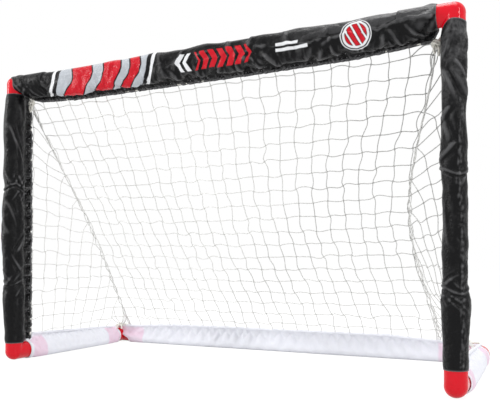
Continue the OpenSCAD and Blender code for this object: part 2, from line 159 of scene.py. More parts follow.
class Wire:
    """A socket that arithmetic works on, in one node tree."""

    def __init__(self, tree, socket=None):
        self.tree = tree
        self.socket = socket

    def node(self, kind, settings=None, inputs=None, out=0):
        """Adds any node: its options first, then its sockets. Returns one of its outputs."""
        made = self.tree.nodes.new(kind)
        for name, value in (settings or {}).items():
            setattr(made, name, value)
        for name, value in (inputs or {}).items():
            if isinstance(value, Wire):
                self.tree.links.new(value.socket, made.inputs[name])
            else:
                made.inputs[name].default_value = value
        return Wire(self.tree, made.outputs[out])

    def maths(self, operation, *values):
        """Adds a Math node over wires and plain numbers."""
        return self.node("ShaderNodeMath", {"operation": operation}, dict(enumerate(values)))

    def __add__(self, other):
        return self.maths("ADD", self, other)

    def __radd__(self, other):
        return self.maths("ADD", other, self)

    def __sub__(self, other):
        return self.maths("SUBTRACT", self, other)

    def __rsub__(self, other):
        return self.maths("SUBTRACT", other, self)

    def __mul__(self, other):
        return self.maths("MULTIPLY", self, other)

    def __rmul__(self, other):
        return self.maths("MULTIPLY", other, self)

    def __truediv__(self, other):
        return self.maths("DIVIDE", self, other)

    def __pow__(self, other):
        return self.maths("POWER", self, other)

    def __mod__(self, other):
        return self.maths("FLOORED_MODULO", self, other)

    def __gt__(self, other):
        return self.maths("GREATER_THAN", self, other)

    def __lt__(self, other):
        return self.maths("LESS_THAN", self, other)

    def __abs__(self):
        return self.maths("ABSOLUTE", self)

    def sine(self):
        return self.maths("SINE", self)

    def most(self, other):
        return self.maths("MAXIMUM", self, other)

    def step(self, start, end):
        """0 below start, 1 above end, and a straight ramp between."""
        return self.node("ShaderNodeMapRange", {"clamp": True},
                         {"Value": self, "From Min": start, "From Max": end})

    def mix(self, colour, other):
        """colour where this wire is 0, other where it is 1."""
        first, second = (end if isinstance(end, Wire) else (*end, 1) for end in (colour, other))
        return self.node("ShaderNodeMix", {"data_type": "RGBA"},
                         {MIX_SHARE: self, MIX_FIRST: first, MIX_SECOND: second}, out=MIX_COLOUR)

    def noise(self, scale, detail=2.0, rough=0.5):
        """Cloudy noise over this vector, with about scale clouds to the metre."""
        return self.node("ShaderNodeTexNoise", None,
                         {"Vector": self, "Scale": scale, "Detail": detail, "Roughness": rough})

    def parts(self):
        """The three numbers of a vector."""
        return [self.node("ShaderNodeSeparateXYZ", None, {"Vector": self}, out=k) for k in range(3)]

# %% A material, its constants and its wires
def finish(name, **sockets):
    """A new material, a wire to write its nodes, and its shader with the constants set."""
    made = bpy.data.materials.new(name)
    made.use_nodes = True
    skin = made.node_tree.nodes["Principled BSDF"]
    for socket, value in sockets.items():
        plain = (*value, 1) if isinstance(value, tuple) else value
        skin.inputs[socket.replace("_", " ")].default_value = plain
    return made, Wire(made.node_tree), skin


def feed(skin, socket, wire):
    """Plugs a wire into one socket of the shader."""
    wire.tree.links.new(wire.socket, skin.inputs[socket])


def bump(height, depth, under=None):
    """A Bump node whose full height stands depth metres out, over another bump if there is one."""
    inputs = {"Height": height, "Distance": depth, "Strength": 1.0}
    if under is not None:
        inputs["Normal"] = under
    return height.node("ShaderNodeBump", None, inputs)


def ready(made):
    """A finish is ready: says how many nodes it took."""
    print("finish %s: %d nodes" % (made.name, len(made.node_tree.nodes)))
    return made


FINISH = {}

# %% [markdown]
# ## Red moulded plastic
#
# The elbows are moulded in one red plastic with a gloss that handling has dulled a little. One
# flat red would look like paint. A moulding has faint clouds in its pigment, a fine grain from
# the mould, and patches that are rubbed duller, so three noises of different sizes make it.

# %% Red moulded plastic
RED_DEEP, RED_BRIGHT = (0.62, 0.003, 0.012), (0.74, 0.006, 0.02)
RED_GRAIN = 0.06           # how much the mould's grain adds to the slow swells
RED_RELIEF = 0.25 * MM


def red_plastic():
    """Cloudy pigment, a grain, and patches worn duller."""
    made, w, skin = finish("red_plastic", Specular_IOR_Level=0.2)
    place = w.node("ShaderNodeTexCoord", out="Object")
    cloudy = place.noise(scale=35, detail=3)
    grain = place.noise(scale=1400)
    rubbed_and_painted_light = place.noise(scale=220, detail=4, rough=0.65).step(0.56, 0.7)
    feed(skin, "Base Color", cloudy.mix(RED_DEEP, RED_BRIGHT))
    feed(skin, "Roughness", 0.07 + cloudy * 0.04 + rubbed_and_painted_light * 0.06)
    feed(skin, "Normal", bump(cloudy + grain * RED_GRAIN, RED_RELIEF))
    return ready(made)


FINISH["red_plastic"] = red_plastic()

# %% [markdown]
# ## White tube plastic
#
# The tubes are extruded, so their skin is duller than a moulding's and slightly wavy. Cloth hides
# most of it, so one noise does for the colour, the gloss and the waves.

# %% White tube plastic
TUBE_SHADE, TUBE_WHITE = (0.8, 0.8, 0.78), (0.86, 0.86, 0.84)
TUBE_RELIEF = 0.05 * MM


def tube_plastic():
    """One fine noise for the colour, the gloss and the waves."""
    made, w, skin = finish("tube_plastic", IOR=1.48)
    drawn = w.node("ShaderNodeTexCoord", out="Object").noise(scale=300)
    feed(skin, "Base Color", drawn.mix(TUBE_SHADE, TUBE_WHITE))
    feed(skin, "Roughness", 0.36 + drawn * 0.1)
    feed(skin, "Normal", bump(drawn, TUBE_RELIEF))
    return ready(made)


FINISH["white_plastic"] = tube_plastic()

# %% [markdown]
# ## Black sleeve nylon
#
# The front sleeves are woven nylon, black with a soft shine, that has been crumpled and sewn. A
# cloth shader with sheen would give velvet. Instead the ridges of the folds are painted grey, a
# painted highlight, and the valleys are kept black, a painted shade. Cycles knows how sharply a
# surface is bent, as Pointiness, and that draws both. Two lines of pale stitches, partly painted
# glints, run along the hem band, and the tops of the right post and of the bar beside it carry a
# painted sheen. The weave, the crumples and the slow swells are three bumps, one over the other.

# %% Threads and stitches
CUT = "cut"       # the UV layer of every cloth: metres along and across the flat cut
STITCH_PITCH, STITCH_LONG = 3.4 * MM, 1.8 * MM
STITCH_MIDDLE, STITCH_EDGE = 0.3 * MM, 0.6 * MM      # half its width, and where it has faded out
STITCH_LINES = (3.5 * MM, 11.8 * MM)                 # across the band, from the hem
# The pale stitches are partly real thread and partly painted glints on the black hem.
STITCH_AND_GLINT_GREY = (0.3, 0.3, 0.31)
STITCH_SUNK = 0.55                                   # noise below this hides a stitch


def weave(cut, pitch):
    """Height of a plain weave whose threads lie pitch metres apart."""
    along, across, _ = cut.parts()
    turn = 2 * math.pi / pitch
    return (along * turn).sine() * (across * turn).sine() * 0.5 + 0.5


def stitches(cut, line):
    """Pale stitches along one line of the cut, partly painted glints. Most have sunk into the cloth."""
    along, across, _ = cut.parts()
    thread = abs(across - line).step(STITCH_EDGE, STITCH_MIDDLE) * (along % STITCH_PITCH < STITCH_LONG)
    return thread * (cut.noise(scale=260, detail=1) > STITCH_SUNK)


print("stitches: %.0f to the decimetre, in %d lines" % (0.1 / STITCH_PITCH, len(STITCH_LINES)))

# %% Painted sheen and painted top light on the nylon
# Where the painted sheen lies: on the right post, and as a painted top light on the bar.
POST_SHEEN_X, POST_SHEEN_Z = (0.3, 0.32), (0.33, 0.42)               # on the right post
BAR_LIT_ALONG, BAR_LIT_ABOVE = (0.46, 0.56), (0.0515, 0.0535)  # on the bar's flat cut
RAGGED = 12 * MM


def post_painted_sheen(cut, wide, crumple):
    """Painted sheen on the top of the right post, in blotches."""
    x, _, z = cut.node("ShaderNodeTexCoord", out="Object").parts()
    here = x.step(*POST_SHEEN_X) * z.step(*POST_SHEEN_Z)
    return here * wide.step(0.36, 0.6) * crumple.step(0.3, 0.7)


def bar_painted_top_light(cut, wide, crumple):
    """Painted top light on the bar towards its right end, with a ragged front edge."""
    along, across, _ = cut.parts()
    here = along.step(*BAR_LIT_ALONG) * (across + wide * RAGGED).step(*BAR_LIT_ABOVE)
    return here * (0.3 + crumple * 0.6)

# %% Black sleeve nylon
# The grey is painted light: a painted highlight on the ridges of the folds, and a painted sheen on the tops
# of the right post and the bar.
NYLON_BLACK, NYLON_PAINTED_SHEEN = (0.004, 0.004, 0.0045), (0.15, 0.15, 0.155)
NYLON_PITCH = 0.8 * MM
# Pointiness above flat gets the painted highlight, and below flat the valleys keep a painted shade of
# black.
BENT_OUT = (0.512, 0.59)        # Pointiness: 0.5 is flat, more is a ridge
BENT_IN = (0.495, 0.46)
NYLON_BUMPS = (0.03 * MM, 1 * MM, 3 * MM)       # threads, crumples and slow swells


def black_nylon(name, painted_sheen, painted_sheen_share, printed=None):
    """Woven and crumpled, with painted highlights on its ridges and a painted sheen in places. printed lays
    ink on the cloth's colour.
    """
    made, w, skin = finish(name, Specular_IOR_Level=0.12)
    cut = w.node("ShaderNodeUVMap", {"uv_map": CUT})
    threads = weave(cut, NYLON_PITCH)
    crumple = cut.noise(scale=170, detail=5, rough=0.6)
    wide = cut.noise(scale=60, detail=3)
    bent = w.node("ShaderNodeNewGeometry", out="Pointiness")
    # Ridges take the grey as a painted highlight; valleys stay black as a painted shade.
    rubbed_and_painted_light = bent.step(*BENT_OUT)
    sunk = bent.step(*BENT_IN)
    # Painted sheen, kept out of the valleys as a painted shade.
    painted_sheen_mask = painted_sheen(cut, wide, crumple) * (1 - sunk) * painted_sheen_share
    cloth = rubbed_and_painted_light.most(painted_sheen_mask).mix(NYLON_BLACK, NYLON_PAINTED_SHEEN)
    rough = 0.2 + crumple * 0.14 + threads * 0.04 - rubbed_and_painted_light * 0.08
    if printed is not None:
        cloth, ink = printed(cut, cloth)
        rough = rough - ink * 0.08
    for line in STITCH_LINES:
        cloth = stitches(cut, line).mix(cloth, STITCH_AND_GLINT_GREY)
    feed(skin, "Base Color", cloth)
    feed(skin, "Roughness", rough)
    thread_deep, crumple_deep, swell_deep = NYLON_BUMPS
    crumpled = bump(crumple, crumple_deep, bump(wide, swell_deep))
    feed(skin, "Normal", bump(threads, thread_deep, crumpled))
    return ready(made)


# The posts' nylon, with a painted sheen on the top of the right post.
FINISH["black_cloth"] = black_nylon("black_nylon", post_painted_sheen, 0.65)

# %% [markdown]
# ## Prints on the crossbar
#
# The crossbar's nylon is printed. Printed cloth needs no picture: a print is a few masks, each made
# from distances on the flat cut, and a mask is a few sums. The big print is a field of leaning
# stripes in light grey, red and white with black lines between. Then come white chevrons, red
# chevrons, two short white bars, and a round badge of slanted red bars.

# %% Masks that lie side by side
INK = {"red": (0.6, 0.012, 0.024), "grey": (0.5, 0.53, 0.57), "white": (0.82, 0.83, 0.85),
       "black": (0.006, 0.006, 0.007)}
SOFT_EDGE, CRISP_EDGE = 0.6 * MM, 0.4 * MM


def between(value, low, high, soft=SOFT_EDGE):
    """1 from low to high, with a narrow soft edge."""
    return value.step(low - soft, low + soft) * value.step(high + soft, high - soft)


def zigzag(value, pitch):
    """0 in the middle of each pitch, rising to half a pitch at its edges."""
    return abs(value % pitch - pitch / 2)


print("inks:", ", ".join(INK))

# %% Leaning stripes
MIDDLE_LINE = 0.043       # across the cut, the middle of the front
ABOVE_BAND = (0.0135, 0.088)
LEAN, BOW = 0.35, 9       # how much a stripe leans, and bows towards its ends
SWAY, SWAY_TURNS = 6 * MM, 95
FIELD = (("white", -0.272, -0.083), ("black", -0.266, -0.0885), ("grey", -0.258, -0.0955))
STRIPES = ((-0.236, 0.036), (-0.176, 0.03), (-0.128, 0.016))       # where each starts, how wide
KEYLINE = 2.5 * MM


def stripes(x, across):
    """They lean, and bow like the edge of a leaf."""
    above_band = between(across, *ABOVE_BAND)
    bow = (across - MIDDLE_LINE) * (across - MIDDLE_LINE) * BOW
    leaning = x + bow - across * LEAN
    swayed = leaning + (across * SWAY_TURNS).sine() * SWAY
    layers = [(colour, between(leaning, low, high) * above_band) for colour, low, high in FIELD]
    for start, wide in STRIPES:
        end = start + wide
        layers.append(("black", between(swayed, start - KEYLINE, end + KEYLINE) * above_band))
        layers.append(("red", between(swayed, start, end) * above_band))
    return layers


print("stripes: %d, on a field %.0f mm wide" % (len(STRIPES), (FIELD[0][2] - FIELD[0][1]) / MM))

# %% Chevrons and short bars
ARROW_SLANT = 0.6
ARROW_ROW = (0.031, 0.055)
WHITE_ARROWS, WHITE_PITCH, WHITE_THICK = (-0.034, -0.012), 0.011, 0.0032
WHITE_FIRST = 0.031       # the first white arrow starts this far left of the middle
RED_ARROWS, RED_PITCH, RED_THICK = (0.008, 0.088), 0.0135, 0.0042
SHORT_BARS = (((0.122, 0.167), (0.0385, 0.0425)), ((0.122, 0.153), (0.0455, 0.0495)))


def chevrons(x, across):
    """Two white ones point one way, then a row of red ones points back."""
    away = abs(across - MIDDLE_LINE) * ARROW_SLANT
    row = between(across, *ARROW_ROW)
    left, right = x - away, x + away
    white = zigzag((left + WHITE_FIRST).most(0), WHITE_PITCH) < WHITE_THICK
    red = zigzag(right, RED_PITCH) < RED_THICK
    return [("white", between(left, *WHITE_ARROWS, CRISP_EDGE) * white * row),
            ("red", between(right, *RED_ARROWS, CRISP_EDGE) * red * row)]


def short_bars(x, across):
    """Two white bars, one above the other."""
    return [("white", between(x, *wide, CRISP_EDGE) * between(across, *high, CRISP_EDGE))
            for wide, high in SHORT_BARS]

# %% Round badge
BADGE_AT = (0.228, 0.0445)
RINGS = (("white", 0.0195), ("black", 0.0183), ("white", 0.0168))
BADGE_BARS = (("black", 0.0144, 0.0136, 0.0036), ("red", 0.0138, 0.013, 0.0028))
BADGE_PITCH, BADGE_SLANT = 0.0098, 0.5


def badge(x, across):
    """Two thin rings, and slanted bars on the field inside them."""
    away_x, away_v = x - BADGE_AT[0], across - BADGE_AT[1]
    out = (away_x * away_x + away_v * away_v) ** 0.5
    layers = [(colour, out.step(radius + CRISP_EDGE, radius - CRISP_EDGE)) for colour, radius in RINGS]
    bars = zigzag(away_x + away_v * BADGE_SLANT, BADGE_PITCH)
    return layers + [(colour, out.step(outer, inner) * (bars < thick))
                     for colour, outer, inner, thick in BADGE_BARS]

# %% Printed crossbar nylon
PRINT_START = 0.346       # the cut's own start is this far left of the goal's middle


def front_prints(cut, cloth):
    """Lays the prints on the cloth's colour. Returns it, and where there is ink."""
    along, across, _ = cut.parts()
    x = along - PRINT_START
    inked = x * 0
    for motif in (stripes, chevrons, short_bars, badge):
        for colour, mask in motif(x, across):
            cloth = mask.mix(cloth, INK[colour])
            inked = inked.most(mask)
    return cloth, inked


# The crossbar's nylon, with a painted top light along the right part of its top.
FINISH["crossbar_cloth"] = black_nylon("crossbar_nylon", bar_painted_top_light, 0.55, front_prints)

# %% [markdown]
# ## White sleeve cloth
#
# The base sleeves are thin white lining cloth. Where it lies on a red elbow it shows pink. Real
# light goes through the cloth, which could be done with a translucent shader and much noise. A
# number stored on each point of the mesh, 1 over a red leg, mixes in a pale red instead.

# %% White sleeve cloth
SHOWS_RED = "shows_red"         # 1 where the cloth lies on a red leg
LINING_SHADE, LINING_WHITE = (0.8, 0.81, 0.88), (0.87, 0.88, 0.93)
PINK_DEEP, PINK_PALE = (0.84, 0.6, 0.72), (0.84, 0.72, 0.84)
LINING_PITCH = 0.7 * MM
LINING_BUMPS = (0.04 * MM, 0.6 * MM)       # threads and crumples


def white_cloth():
    """Thin white cloth that shows pink over a red leg."""
    made, w, skin = finish("white_cloth", Sheen_Weight=0.1, Sheen_Roughness=0.5, Specular_IOR_Level=0.3)
    cut = w.node("ShaderNodeUVMap", {"uv_map": CUT})
    threads = weave(cut, LINING_PITCH)
    crumple = cut.noise(scale=90, detail=4, rough=0.55)
    pink = w.node("ShaderNodeAttribute", {"attribute_name": SHOWS_RED}, out="Fac")
    white = crumple.mix(LINING_SHADE, LINING_WHITE)
    feed(skin, "Base Color", pink.mix(white, crumple.mix(PINK_DEEP, PINK_PALE)))
    feed(skin, "Roughness", 0.6 + crumple * 0.1)
    feed(skin, "Normal", bump(threads, LINING_BUMPS[0], bump(crumple, LINING_BUMPS[1])))
    return ready(made)


FINISH["white_cloth"] = white_cloth()

# %% [markdown]
# ## Twine and cord
#
# Net twine is laid from two strands that turn round each other, and hem cord is braided from more.
# Both could be modelled strand by strand, but a goal has forty metres of twine. Each tube's UVs
# count metres along and turns around, so a slanted wave over both draws the lay as a bump, with
# loose fibres from a fine noise. The net is painted greyer towards its right and higher up: a
# painted shade.

# %% Twine and cord
ROPE = "rope"     # the UV layer of every twine: metres along, turns around
# Where the net is painted greyer, towards its right and higher up: painted shade.
SHADE_ACROSS, SHADE_UP = (-0.05, post_x), (0.0, 0.22)
ROPE_RELIEF = 0.2 * MM


def laid_twine(name, colour, shade, pitch, strands, rubbed_and_painted_light=None):
    """Twine that turns once in pitch metres. The last argument, if given, is its colour in the painted
    shade towards the net's right and top.
    """
    made, w, skin = finish(name, Sheen_Weight=0.1, Sheen_Roughness=0.6)
    along, around, _ = w.node("ShaderNodeUVMap", {"uv_map": ROPE}).parts()
    lay = ((along / pitch + around) * (2 * math.pi * strands)).sine() * 0.5 + 0.5
    place = w.node("ShaderNodeTexCoord", out="Object")
    fluff = place.noise(scale=600, detail=3)
    fibres = (lay * 0.7 + fluff * 0.3).mix(shade, colour)
    if rubbed_and_painted_light is not None:
        x, _, z = place.parts()
        # Greyer towards the right and higher up: painted shade.
        twine_shade = x.step(*SHADE_ACROSS) * z.step(*SHADE_UP) * (0.6 + fluff * 0.5)
        fibres = twine_shade.mix(fibres, rubbed_and_painted_light)
    feed(skin, "Base Color", fibres)
    feed(skin, "Roughness", 0.8 + fluff * 0.1)
    feed(skin, "Normal", bump(lay + fluff * 0.3, ROPE_RELIEF))
    return ready(made)


# The net's last colour is its grey of painted shade.
NET_WHITE, NET_SHADE, NET_PAINTED_SHADE = (0.88, 0.88, 0.86), (0.74, 0.74, 0.72), (0.4, 0.4, 0.395)
LACE_WHITE, LACE_SHADE = (0.84, 0.84, 0.82), (0.62, 0.62, 0.6)
CORD_CREAM, CORD_SHADE = (0.88, 0.87, 0.81), (0.7, 0.68, 0.61)
LAY, BRAID = 4 * MM, 6 * MM
FINISH["net_twine"] = laid_twine("net_twine", NET_WHITE, NET_SHADE, LAY, strands=2, rubbed_and_painted_light=NET_PAINTED_SHADE)
FINISH["lacing_twine"] = laid_twine("lacing_twine", LACE_WHITE, LACE_SHADE, LAY, strands=2)
FINISH["cord"] = laid_twine("hem_cord", CORD_CREAM, CORD_SHADE, BRAID, strands=4)

# %% [markdown]
# ## Frame parts keep their CAD shape
#
# Tubes, joiners and elbows are exactly what the CAD says, so there is nothing to model. They only
# trade their plain colour for a real finish.

# %% Dress the hard parts
hard_parts = [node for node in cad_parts
              if node.endswith("elbow") or "tube" in node or "joiner" in node]
for node in hard_parts:
    plastic = "red_plastic" if node.endswith("elbow") else "white_plastic"
    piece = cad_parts[node]
    piece.data.materials.clear()
    piece.data.materials.append(FINISH[plastic])
print("dressed", len(hard_parts), "hard parts")

# %% [markdown]
# ## Cloth, simulated
#
# A sleeve is one strip of cloth wrapped round its tube, with both edges caught in the rolled hem.
# Such loose cloth can't be drawn: it has to fall. Blender's Cloth could do it, but at this small
# size it needs a scaled-up scene and gives little say in where the slack lies. A strip is a plain
# grid, so a few lines of array work do the same job. Each thread is a little stick that keeps its
# length. In each step every point falls a little, then the sticks are put right, row by row, and
# points that went into the tube, an elbow or the floor come back out.

# %% Soft steps and soft noise
def mix(a, b, t):
    """a where t is 0, b where t is 1."""
    return a + (b - a) * t


def ramp(x, start, end):
    """0 before start, 1 after end, with an S between."""
    t = np.clip((x - start) / (end - start), 0, 1)
    return t * t * (3 - 2 * t)


def smooth_noise(dice, shape, size):
    """Random heights of spread 1, smooth over about size cells each way."""
    field = dice.normal(size=shape)
    for axis, cells in enumerate(size):
        reach = np.arange(-int(3 * cells) - 1, int(3 * cells) + 2)
        soft = np.exp(-0.5 * (reach / cells) ** 2)
        field = np.apply_along_axis(lambda v: np.convolve(v, soft / soft.sum(), "same"), axis, field)
    return field / field.std()

# %% Making a mesh from a grid
def grid_mesh(name, points, uv, layer):
    """A mesh from points[row, column], closed round from the last column to the first."""
    rows, columns = points.shape[:2]
    mesh = bpy.data.meshes.new(name)
    i, k = np.meshgrid(np.arange(rows - 1), np.arange(columns), indexing="ij")
    k2 = (k + 1) % columns
    faces = np.stack([i * columns + k, i * columns + k2, (i + 1) * columns + k2,
                      (i + 1) * columns + k], -1).reshape(-1, 4)
    mesh.from_pydata(points.reshape(-1, 3).tolist(), [], faces.tolist())
    texture = mesh.uv_layers.new(name=layer)
    corner = np.stack([uv[i, k], uv[i, k + 1], uv[i + 1, k + 1], uv[i + 1, k]], 2)
    texture.data.foreach_set("uv", corner.reshape(-1).astype(np.float32))
    mesh.polygons.foreach_set("use_smooth", [True] * len(mesh.polygons))
    piece = bpy.data.objects.new(name, mesh)
    bpy.context.scene.collection.objects.link(piece)
    return piece

# %% [markdown]
# ### The strip before it falls
#
# Seen from its end, a sleeve is a teardrop: up one layer of the hem band, round the tube, and down
# the other layer. Near both ends the hem is left open, and the band closes over a short stretch.

# %% Cross-sections
LAYER = 0.45 * MM               # from the hem's middle plane to each layer of cloth
BAND_SHUTS = 7 * MM             # the stretch over which the band closes
OPEN_TIP, OPEN_SEAM = 0.6 * MM, 0.3 * MM      # how far off the tube an open band's edges lie


def teardrop(radius, seam, count):
    """Points from the seam round the tube and back to it, as (towards the hem, sideways)."""
    half = math.acos(radius / seam)
    straight = math.sqrt(seam**2 - radius**2)
    arc = (2 * math.pi - 2 * half) * radius
    s = np.linspace(0, 2 * straight + arc, count)
    angle = half + np.clip(s - straight, 0, arc) / radius
    lead = np.clip((straight - s) / straight, 0, 1) + np.clip((s - straight - arc) / straight, 0, 1)
    return np.stack([radius * np.cos(angle) * (1 - lead) + seam * lead,
                     radius * np.sin(angle) * (1 - lead)], -1)


def sections(u, radius, seam, hem, hem_span, flange, loop):
    """One cross-section per row: up one layer of the hem band, round the tube, down the other."""
    first, last = hem_span
    shut = ramp(u, first - BAND_SHUTS, first) * ramp(u, last + BAND_SHUTS, last)
    made = []
    for share, r, reach in zip(shut, radius, hem):
        tip = mix(r + OPEN_TIP, reach, share)
        join = mix(r + OPEN_SEAM, seam, share)
        side = np.linspace(tip, join, flange, endpoint=False)
        layer = np.full(flange, LAYER)
        made.append(np.vstack([np.stack([side, layer], -1), teardrop(r, join, loop),
                               np.stack([side[::-1], -layer], -1)]))
    made = np.array(made)
    half = made.shape[1] // 2
    made[:, :half, 1] = np.maximum(made[:, :half, 1], LAYER)
    made[:, made.shape[1] - half:, 1] = np.minimum(made[:, made.shape[1] - half:, 1], -LAYER)
    return made


print("cloth round a tube, seam to seam: %.0f mm" % (
    np.linalg.norm(np.diff(teardrop(tube_r, 2 * tube_r, 100), axis=0), axis=1).sum() / MM))

# %% [markdown]
# ### Sticks that keep their length
#
# The threads are sticks along and round the sleeve, and softer ones lie across the cells. They are
# put right in two turns, every other one at a time, so that no two in a turn pull on one point.
# Springs over two and four cells keep the cloth from folding too sharply. They only push, because
# cloth that is bent wants to straighten, but never to shrink. The cut has more cloth than the tube
# needs, most of all at the hem, and that is what makes the folds.

# %% Lengths of the sticks
RUFFLE_EASE = 25 * MM           # ruffles grow over this stretch from each end of the hem
END_RUFFLE = 0.4


def thread_lengths(u, section, flange, hem_span, slack, ruffle, girth, reach, loose):
    """Length of each stick along the sleeve, and of each stick round it."""
    rows, columns = section.shape[:2]
    k = np.arange(columns)
    depth = np.clip(1 - np.minimum(k, columns - 1 - k) / (flange * reach), 0, 1)
    more = np.ones(rows - 1) if loose is None else loose((u[1:] + u[:-1]) / 2)
    first, last = hem_span
    shut = ramp(u[:-1], first, first + RUFFLE_EASE) * ramp(u[:-1], last, last - RUFFLE_EASE)
    ruffled = ruffle * depth * (END_RUFFLE + (1 - END_RUFFLE) * shut[:, None])
    along = (u[-1] / (rows - 1)) * (1 + slack * more[:, None] + ruffled)
    wrap = np.zeros(columns - 1)
    wrap[flange:columns - 1 - flange] = 1
    around = np.linalg.norm(np.diff(section, axis=1), axis=-1) * (1 + (girth - 1) * wrap)
    return along, around

# %% Sticks and springs
ACROSS_STIFF = 0.35             # sticks across the cells, against 1 for a thread
BEND = (0.3, 0.1)               # springs over two cells and over four
NEVER_ZERO = 1e-9


def stick(free, a, b, rest, stiff, share=None):
    """Joins points[a] to points[b]. Each end takes its share of a move, and a held end takes none."""
    if share is None:
        share = 1 / (free[a] + free[b] + NEVER_ZERO)
    return a, b, rest[..., None], stiff, free[a], free[b], share


def lay_sticks(free, along, around):
    """All sticks of the strip, in two turns each way."""
    rows, columns = free.shape[:2]
    across = np.sqrt(((along[:, 1:] + along[:, :-1]) / 2) ** 2 + around[1:] ** 2)
    s_ = np.s_
    sticks = []
    for turn in (0, 1):
        n, m = (rows - turn) // 2, (columns - turn) // 2
        even, odd = s_[turn:turn + 2 * n - 1:2], s_[turn + 1:turn + 2 * n:2]
        even_k, odd_k = s_[turn:turn + 2 * m - 1:2], s_[turn + 1:turn + 2 * m:2]
        sticks.append(stick(free, (even,), (odd,), along[turn::2][:n], 1.0))
        sticks.append(stick(free, s_[:, even_k], s_[:, odd_k], around[:, turn::2][:, :m], 1.0))
        sticks.append(stick(free, s_[even, :-1], s_[odd, 1:], across[turn::2][:n], ACROSS_STIFF))
        sticks.append(stick(free, s_[even, 1:], s_[odd, :-1], across[turn::2][:n], ACROSS_STIFF))
    return sticks


def lay_springs(free, along, around):
    """Long soft sticks, so that the cloth bends in round folds."""
    s_ = np.s_
    near, far = BEND
    four = along[3:] + along[2:-1] + along[1:-2] + along[:-3]
    return [stick(free, s_[:-2], s_[2:], along[1:] + along[:-1], near, 0.5),
            stick(free, s_[:, :-2], s_[:, 2:], around[:, 1:] + around[:, :-1], near, 0.5),
            stick(free, s_[:-4], s_[4:], four, far, 0.5)]

# %% One step of the fall
GRIP = 0.9                      # cloth that touches the tube loses this much of its slide


def put_right(points, sticks, only_push=False):
    """Moves both ends of each stick until it has its own length again."""
    for a, b, rest, stiff, free_a, free_b, share in sticks:
        gap = points[b] - points[a]
        now = np.sqrt((gap * gap).sum(-1, keepdims=True)) + NEVER_ZERO
        wrong = np.minimum(0, now - rest) if only_push else now - rest
        move = gap * (stiff * wrong / now * share)
        points[a] += free_a * move
        points[b] -= free_b * move


def part_layers(points, flange, across):
    """The band's two layers stay sewn side by side, and the rest don't pass through each other."""
    columns = points.shape[1]
    first = np.arange(columns // 2)
    last = columns - 1 - first
    apart = (points[:, first] - points[:, last]) @ across
    part = np.where(first < flange, 2 * LAYER - apart, np.maximum(0, 2 * LAYER - apart)) / 2
    points[:, first] += part[..., None] * across
    points[:, last] -= part[..., None] * across


def come_out(points, before, origin, along, core):
    """Points that went into the tube or a leg come back out, and grip where they touch it."""
    offset = points - origin
    reached = offset @ along
    radial = offset - reached[..., None] * along
    distance = np.sqrt((radial * radial).sum(-1))
    deep = np.maximum(0, core(reached) / distance - 1)[..., None]
    points = points + radial * deep
    return np.where(deep > 0, points + GRIP * (before - points), points)

# %% The fall
CELL = (2.4 * MM, 3 * MM)       # along the sleeve, and round it
STEPS, QUICK_STEPS = 420, 60
FALL = np.array((0, 0, -9.81)) * 2.5e-7      # what gravity adds to the move of one step
KEPT_SPEED = 0.96
FIRST_SWELLS, FIRST_LUMPS = 0.5 * MM, 0.15 * MM      # uneven from the start, or no fold would form


def drape(place, hem_span, seam, radius, hem, core, slack, ruffle, girth, seed,
          reach=3.0, floor=None, loose=None):
    """Lets one sleeve fall round its tube. Returns its points and their places on the flat cut."""
    origin, along, down, length = place
    across = np.cross(along, down)
    rows = int(round(length / CELL[0])) + 1
    u = np.linspace(0, length, rows)
    flange = max(2, int(round((hem(u).mean() - seam) / CELL[1])))
    loop = int(round(2 * math.pi * radius(u).mean() / CELL[1]))
    section = sections(u, radius(u), seam, hem(u), hem_span, flange, loop)
    columns = section.shape[1]
    held = origin + u[:, None, None] * along + section[..., :1] * down + section[..., 1:] * across
    free = np.ones((rows, columns, 1))
    free[0] = free[-1] = free[:, 0] = free[:, -1] = 0

    dice = np.random.default_rng(seed)
    push = (FIRST_SWELLS * smooth_noise(dice, (rows, columns), (5, 4))
            + FIRST_LUMPS * dice.normal(size=(rows, columns)))
    outwards = section / np.linalg.norm(section, axis=-1, keepdims=True)
    points = held + free * push[..., None] * (outwards[..., :1] * down + outwards[..., 1:] * across)

    stick_u, stick_v = thread_lengths(u, section, flange, hem_span, slack, ruffle, girth, reach, loose)
    sticks, springs = lay_sticks(free, stick_u, stick_v), lay_springs(free, stick_u, stick_v)
    before = points.copy()
    for _ in range(STEPS):
        points, before = points + (points - before) * KEPT_SPEED + FALL, points
        points = np.where(free > 0, points, held)
        put_right(points, sticks)
        put_right(points, springs, only_push=True)
        part_layers(points, flange, across)
        points = come_out(points, before, origin, along, core)
        if floor is not None:
            points[..., 2] = np.maximum(points[..., 2], floor)
        points = np.where(free > 0, points, held)
    flat_v = np.concatenate([[0], np.cumsum(stick_v[rows // 2])])
    cut = np.stack(np.meshgrid(u, flat_v[-1] - flat_v, indexing="ij"), -1)
    return points, cut, flange

# %% [markdown]
# ## Small folds and gathers
#
# The fall gives the loose folds of the cloth. Two smaller things come from the needle: the hem band
# is gathered, so it puckers every few millimetres, and sharp little creases run up from it into
# the sleeve. They are finer than the sticks of the fall, so the fallen strip is first divided once
# more, and then each crease is pressed into it as a ridge with a valley beside it.

# %% Twice as fine
def finer(grid):
    """Puts a point between each two, on a smooth curve through their neighbours."""
    for axis in (0, 1):
        g = np.moveaxis(grid, axis, 0)
        before = np.concatenate([2 * g[:1] - g[1:2], g[:-2]])
        after = np.concatenate([g[2:], 2 * g[-1:] - g[-2:-1]])
        halfway = (9 * (g[:-1] + g[1:]) - before - after) / 16
        out = np.empty((2 * len(g) - 1, *g.shape[1:]))
        out[::2] = g
        out[1::2] = halfway
        grid = np.moveaxis(out, 0, axis)
    return grid


